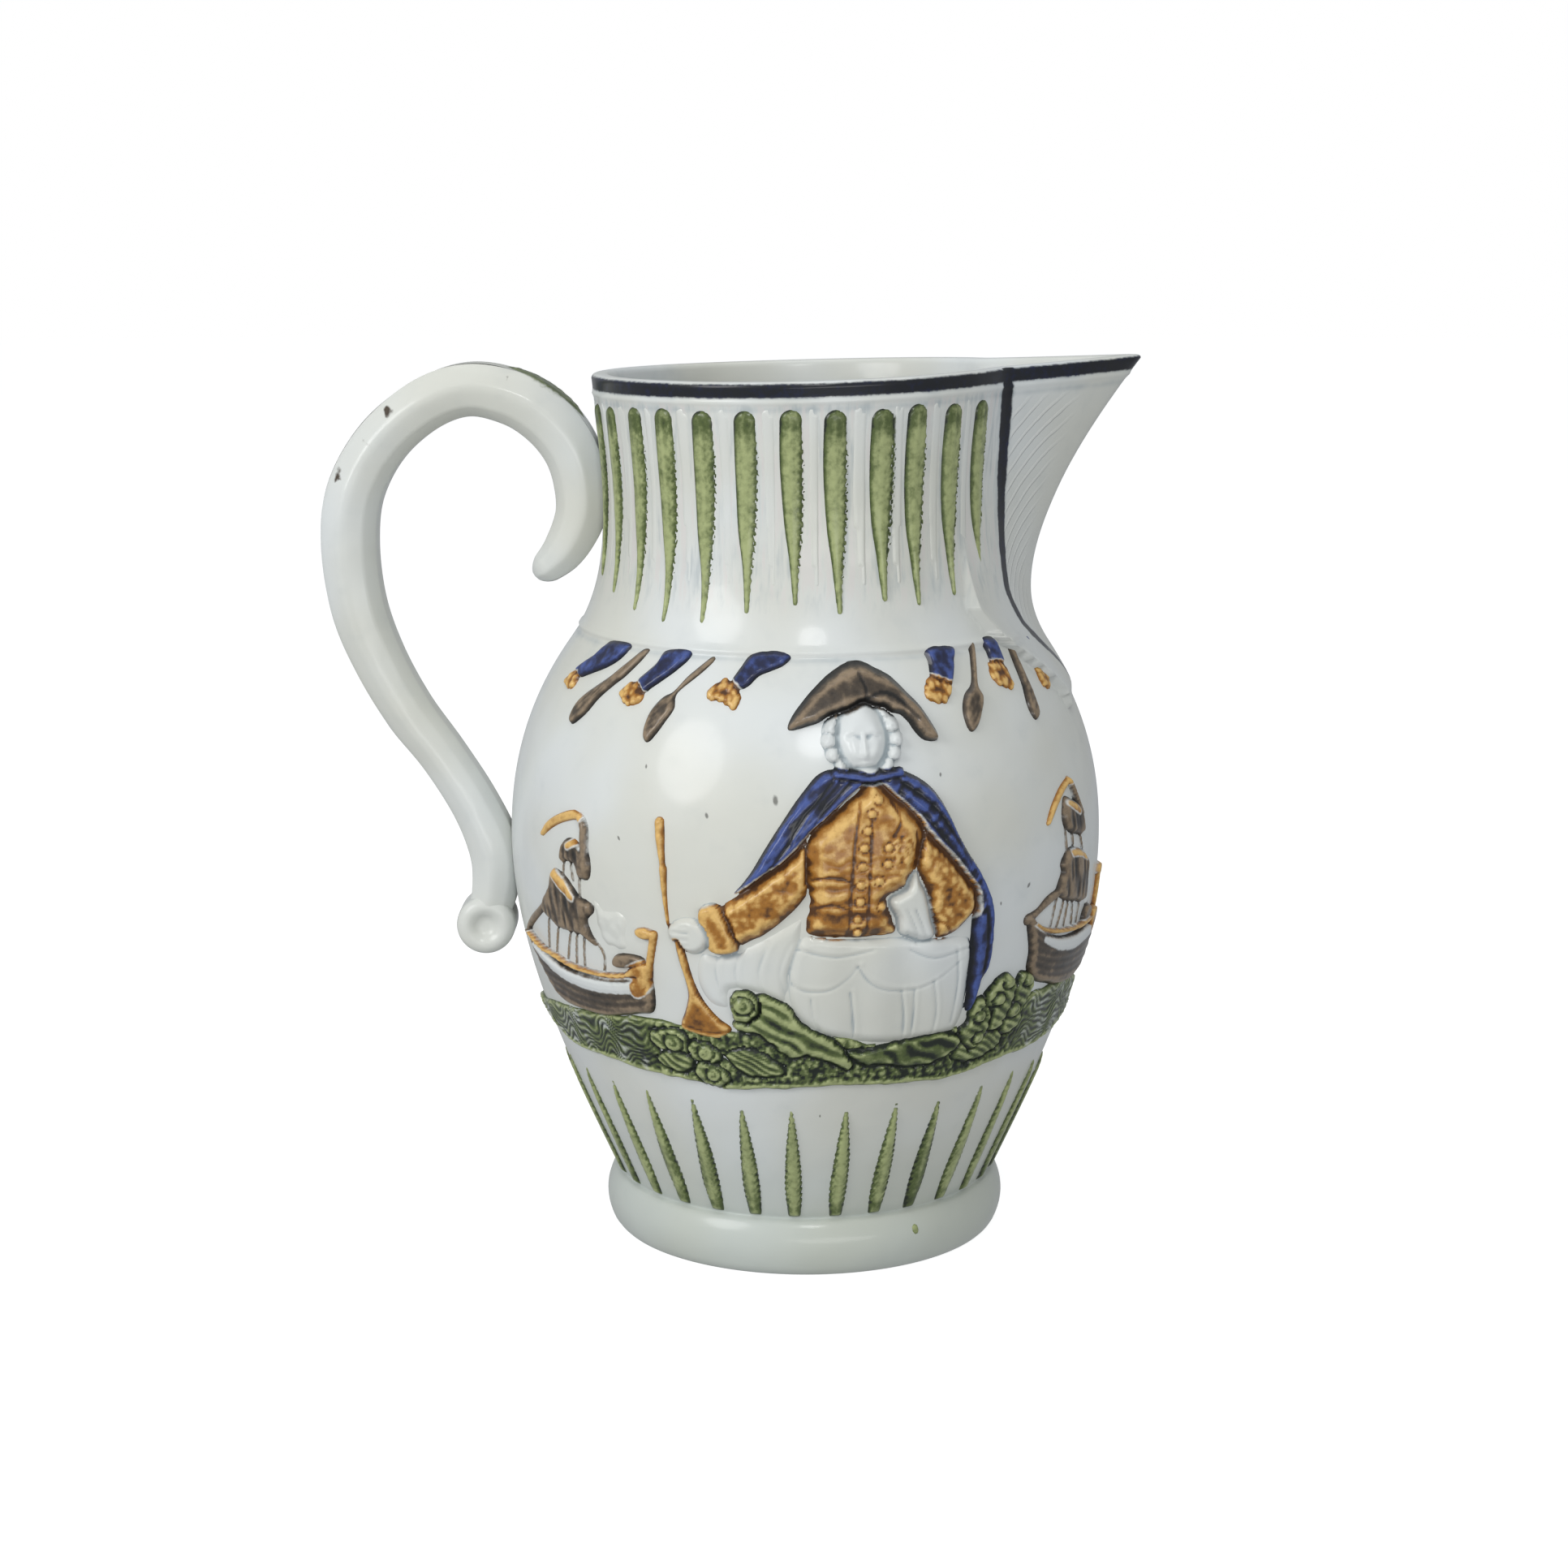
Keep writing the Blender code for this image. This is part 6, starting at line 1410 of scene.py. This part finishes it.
def makeHandle():
    dense = smoothLine(strapLine(), 900)
    steps = np.concatenate([[0.0], np.cumsum(np.hypot(*np.diff(dense[:, :2], axis=0).T))])
    length = steps[-1]
    share = np.linspace(0, 1, strap["rows"] + 1)
    share = 0.55 * share + 0.45 * ease(share)
    line = np.stack([np.interp(share * length, steps, dense[:, i]) for i in range(3)], axis=1)
    run = np.gradient(line[:, :2], axis=0)
    run /= np.hypot(run[:, 0], run[:, 1])[:, None]
    section = strap["section"]
    turn = np.linspace(0, len(section), strap["around"], endpoint=False)
    corners = np.array((*section, section[0]))
    facets = np.stack([np.interp(turn, range(len(corners)), corners[:, k]) for k in (0, 1)], axis=1)
    ring = strap["facets"] * facets + (1 - strap["facets"]) * smoothLine(section, strap["around"], closed=True)
    ring = np.clip(ring, -1.0, 0.98)  # the flat side stays inside the solid's box
    ring = np.vstack([ring, ring[:1]])
    form = bmesh.new()
    bmesh.ops.create_grid(form, x_segments=strap["around"], y_segments=strap["rows"], size=1.0)
    mesh = meshFrom("jugHandle", form)
    column, row = gridPlaces(pointsOf(mesh), strap["around"], strap["rows"])
    half = line[row, 2]
    distance = share[row] * length
    # the free end of the curl and the buried tail close in a round nose
    nose = 1.0
    for away, reach in zip((distance, length - distance), strap["noses"]):
        nose = nose * np.sqrt(np.clip(1 - np.clip(1 - away / reach, 0, 1) ** 2, 0, 1))
    wide = ring[column, 0] * half / (strap["thick"] / 2) * strap["width"] / 2 * nose
    deep = ring[column, 1] * half * nose
    # a leaf laid over the crown, where the thumb rests
    peak = steps[np.argmax(dense[:, 1])]
    near, far, leafHalf, leafLift = strap["leaf"]
    middle, reach = peak - (near + far) / 2, (far - near) / 2
    u, v = (distance - middle) / reach, wide / leafHalf
    taper = np.clip(1 - u**2, 0, 1) ** 0.6
    leafSide = np.where(ring[column, 1] > 0.5, taper - np.abs(v), -1.0)
    veins = 0.5 + 0.5 * np.cos((distance - 1.2 * np.abs(wide)) * 2 * math.pi / strap["veins"])
    deep += leafLift * ease(leafSide / 0.45) * (1 - 0.25 * veins * ease(np.abs(v) * 3))
    deep -= 0.12 * bell(wide, 0.0, 0.35) * ease(leafSide / 0.3)
    # hand-worked clay: slight waves along the strap
    deep += 0.16 * (softNoise(distance, column * 0.9, 9.0, 6) - 1.0) * nose * (ring[column, 1] > 0)
    wide += 0.12 * (softNoise(distance, column * 0.9, 7.0, 16) - 0.5) * nose
    outwards, z = line[row, 0] - run[row, 1] * deep, line[row, 1] + run[row, 0] * deep
    placePoints(mesh, -outwards, -wide, z)
    # the thumb leaf is painted lighter between its veins and darker in them, as highlight and shade
    tone = np.where(leafSide > 0, 0.55 * (1 - veins) - 0.15, 0.0)
    addPoints(mesh, "tone", np.clip(tone, -1, 1))
    for pigment in pigments:
        depth = np.full(len(row), -2.0)
        if pigment == "green":
            depth = np.where(leafSide > -0.9, leafSide * 1.6 + 0.1, -2.0)
        if pigment == "brown":
            # worn dark chips on the outer edge of the loop
            chips = np.full(len(row), -9.0)
            ragged = 1.1 * (softNoise(distance, wide, 0.7, 4) - 0.5)
            for chipAt, chipAcross, chipHalf in strap["chips"]:
                gap = np.hypot((distance - chipAt) / 1.4, wide - chipAcross)
                chips = np.maximum(chips, chipHalf - gap + ragged)
            depth = np.where(ring[column, 1] > 0, chips, -2.0)
        addPoints(mesh, pigment, depth)
    setShade(mesh)
    form = bmesh.new()
    form.from_mesh(mesh)
    bmesh.ops.remove_doubles(form, verts=form.verts, dist=2e-6)
    bmesh.ops.recalc_face_normals(form, faces=form.faces)
    form.to_mesh(mesh)
    form.free()
    addPiece("jugHandle", mesh, reliefGlaze)
    print("jugHandle triangles", 2 * len(mesh.polygons))
    return line[-1]


def makeScroll(tail):
    # the strap curls under into a short roll with a dimple in each end
    radius, centre = strap["scrollRadius"], (-tail[0], 0.0, strap["tail"])
    half = strap["width"] / 2 * 0.86
    profile = ((0.0, 0.70), (0.16, 0.71), (0.3, 0.76), (0.44, 0.86), (0.6, 0.93), (0.76, 0.92), (0.9, 0.84),
               (0.98, 0.72), (1.0, 0.5), (1.0, 0.0))
    profile = list(profile) + [(r, -w) for r, w in profile[-2::-1]]
    line = smoothLine(profile, 72)
    form = bmesh.new()
    verts = [form.verts.new((centre[0] + max(r, 0.0) * radius, w * half, centre[2])) for r, w in line]
    edges = [form.edges.new(pair) for pair in zip(verts, verts[1:])]
    bmesh.ops.spin(form, geom=verts + edges, cent=centre, axis=(0, 1, 0), angle=math.tau, steps=72, use_merge=True)
    bmesh.ops.remove_doubles(form, verts=form.verts, dist=0.004)
    bmesh.ops.recalc_face_normals(form, faces=form.faces)
    bmesh.ops.scale(form, vec=(0.001, 0.001, 0.001), verts=form.verts)
    mesh = meshFrom("handleScroll", form)
    for key in ("tone", *pigments):
        addPoints(mesh, key, np.full(len(mesh.vertices), 0.0 if key == "tone" else -2.0))
    setShade(mesh)
    addPiece("handleScroll", mesh, reliefGlaze)


makeScroll(makeHandle())
print("handle made")

studio = {
    "cameraPlace": (-0.00375, -0.500, 0.178),
    "cameraPitch": 11.2,
    "lens": 65.96,
    "world": (0.93, 0.96, 1.0),
    "worldStrength": 0.42,
    "paper": "#b4b4b4",
    "paperGlow": 0.82,
    "floorRadius": 3.9,
    "domeRadius": 4.0,
    # name, place, aim, size and power
    "lights": (
        ("keySoftbox", (-0.75, -0.65, 0.55), (0, 0, 0.07), (0.5, 0.55), 5.2),
        ("frontSoftbox", (0.06, -0.85, 0.75), (0, 0, 0.07), (0.24, 0.24), 1.9),
        ("topSoftbox", (0.0, 0.1, 0.95), (0, 0, 0.07), (0.7, 0.7), 1.5),
        ("lowFill", (0.25, -0.95, 0.10), (0, 0, 0.05), (0.9, 0.18), 1.6),
    ),
}


def areaLight(name, place, aim, size, power):
    data = bpy.data.lights.new(name, "AREA")
    data.shape = "ELLIPSE"
    data.size, data.size_y = size
    data.energy = power
    light = bpy.data.objects.new(name, data)
    light.location = place
    light.rotation_euler = (Vector(aim) - Vector(place)).to_track_quat("-Z", "Y").to_euler()
    bpy.context.scene.collection.objects.link(light)


world = bpy.data.worlds.new("studio")
world.use_nodes = True
sky = world.node_tree.nodes["Background"]
sky.inputs["Color"].default_value = (*studio["world"], 1.0)
sky.inputs["Strength"].default_value = studio["worldStrength"]
bpy.context.scene.world = world
bpy.context.scene.view_settings.view_transform = "Standard"

def stageMaterial(name, base, glow):
    # matt, and glowing evenly by itself
    material = bpy.data.materials.new(name)
    material.use_nodes = True
    shader = material.node_tree.nodes["Principled BSDF"]
    for key, value in (("Base Color", base), ("Roughness", 0.9), ("Specular IOR Level", 0.0),
                       ("Emission Color", (1.0, 1.0, 1.0, 1.0)), ("Emission Strength", glow)):
        shader.inputs[key].default_value = value
    return material, shader


# white paper floor and a white dome round it: they are seen by the camera but throw no light on the jug,
# so the glaze keeps the shading of a room, and only a faint contact shadow shows
paper, sheet = stageMaterial("whitePaper", linear(studio["paper"]), studio["paperGlow"])
fibre = addNode(paper.node_tree, "ShaderNodeTexNoise", {"Scale": 400.0, "Detail": 3.0})
grain = addNode(paper.node_tree, "ShaderNodeBump", {"Strength": 0.05, "Distance": 0.0002, "Height": fibre})
paper.node_tree.links.new(grain, sheet.inputs["Normal"])


def addStage(name, form, material):
    mesh = meshFrom(name, form)
    setShade(mesh)
    mesh.materials.append(material)
    piece = bpy.data.objects.new(name, mesh)
    bpy.context.scene.collection.objects.link(piece)
    piece.visible_diffuse = False
    piece.visible_glossy = False
    return piece


sweep = bmesh.new()
bmesh.ops.create_circle(sweep, cap_ends=True, segments=96, radius=studio["floorRadius"])
addStage("floor", sweep, paper)
dome = bmesh.new()
bmesh.ops.create_icosphere(dome, subdivisions=5, radius=studio["domeRadius"])
bmesh.ops.reverse_faces(dome, faces=dome.faces)
backdrop = addStage("backdrop", dome, stageMaterial("whiteBackdrop", (0.0, 0.0, 0.0, 1.0), 1.0)[0])
backdrop.visible_shadow = False

for lamp in studio["lights"]:
    areaLight(*lamp)

camera = bpy.data.objects.new("camera", bpy.data.cameras.new("camera"))
camera.location = studio["cameraPlace"]
camera.rotation_euler = (math.radians(90 - studio["cameraPitch"]), 0.0, 0.0)
camera.data.lens = studio["lens"]
camera.data.sensor_width = 36.0
camera.data.clip_start = 0.01
bpy.context.scene.collection.objects.link(camera)
bpy.context.scene.camera = camera
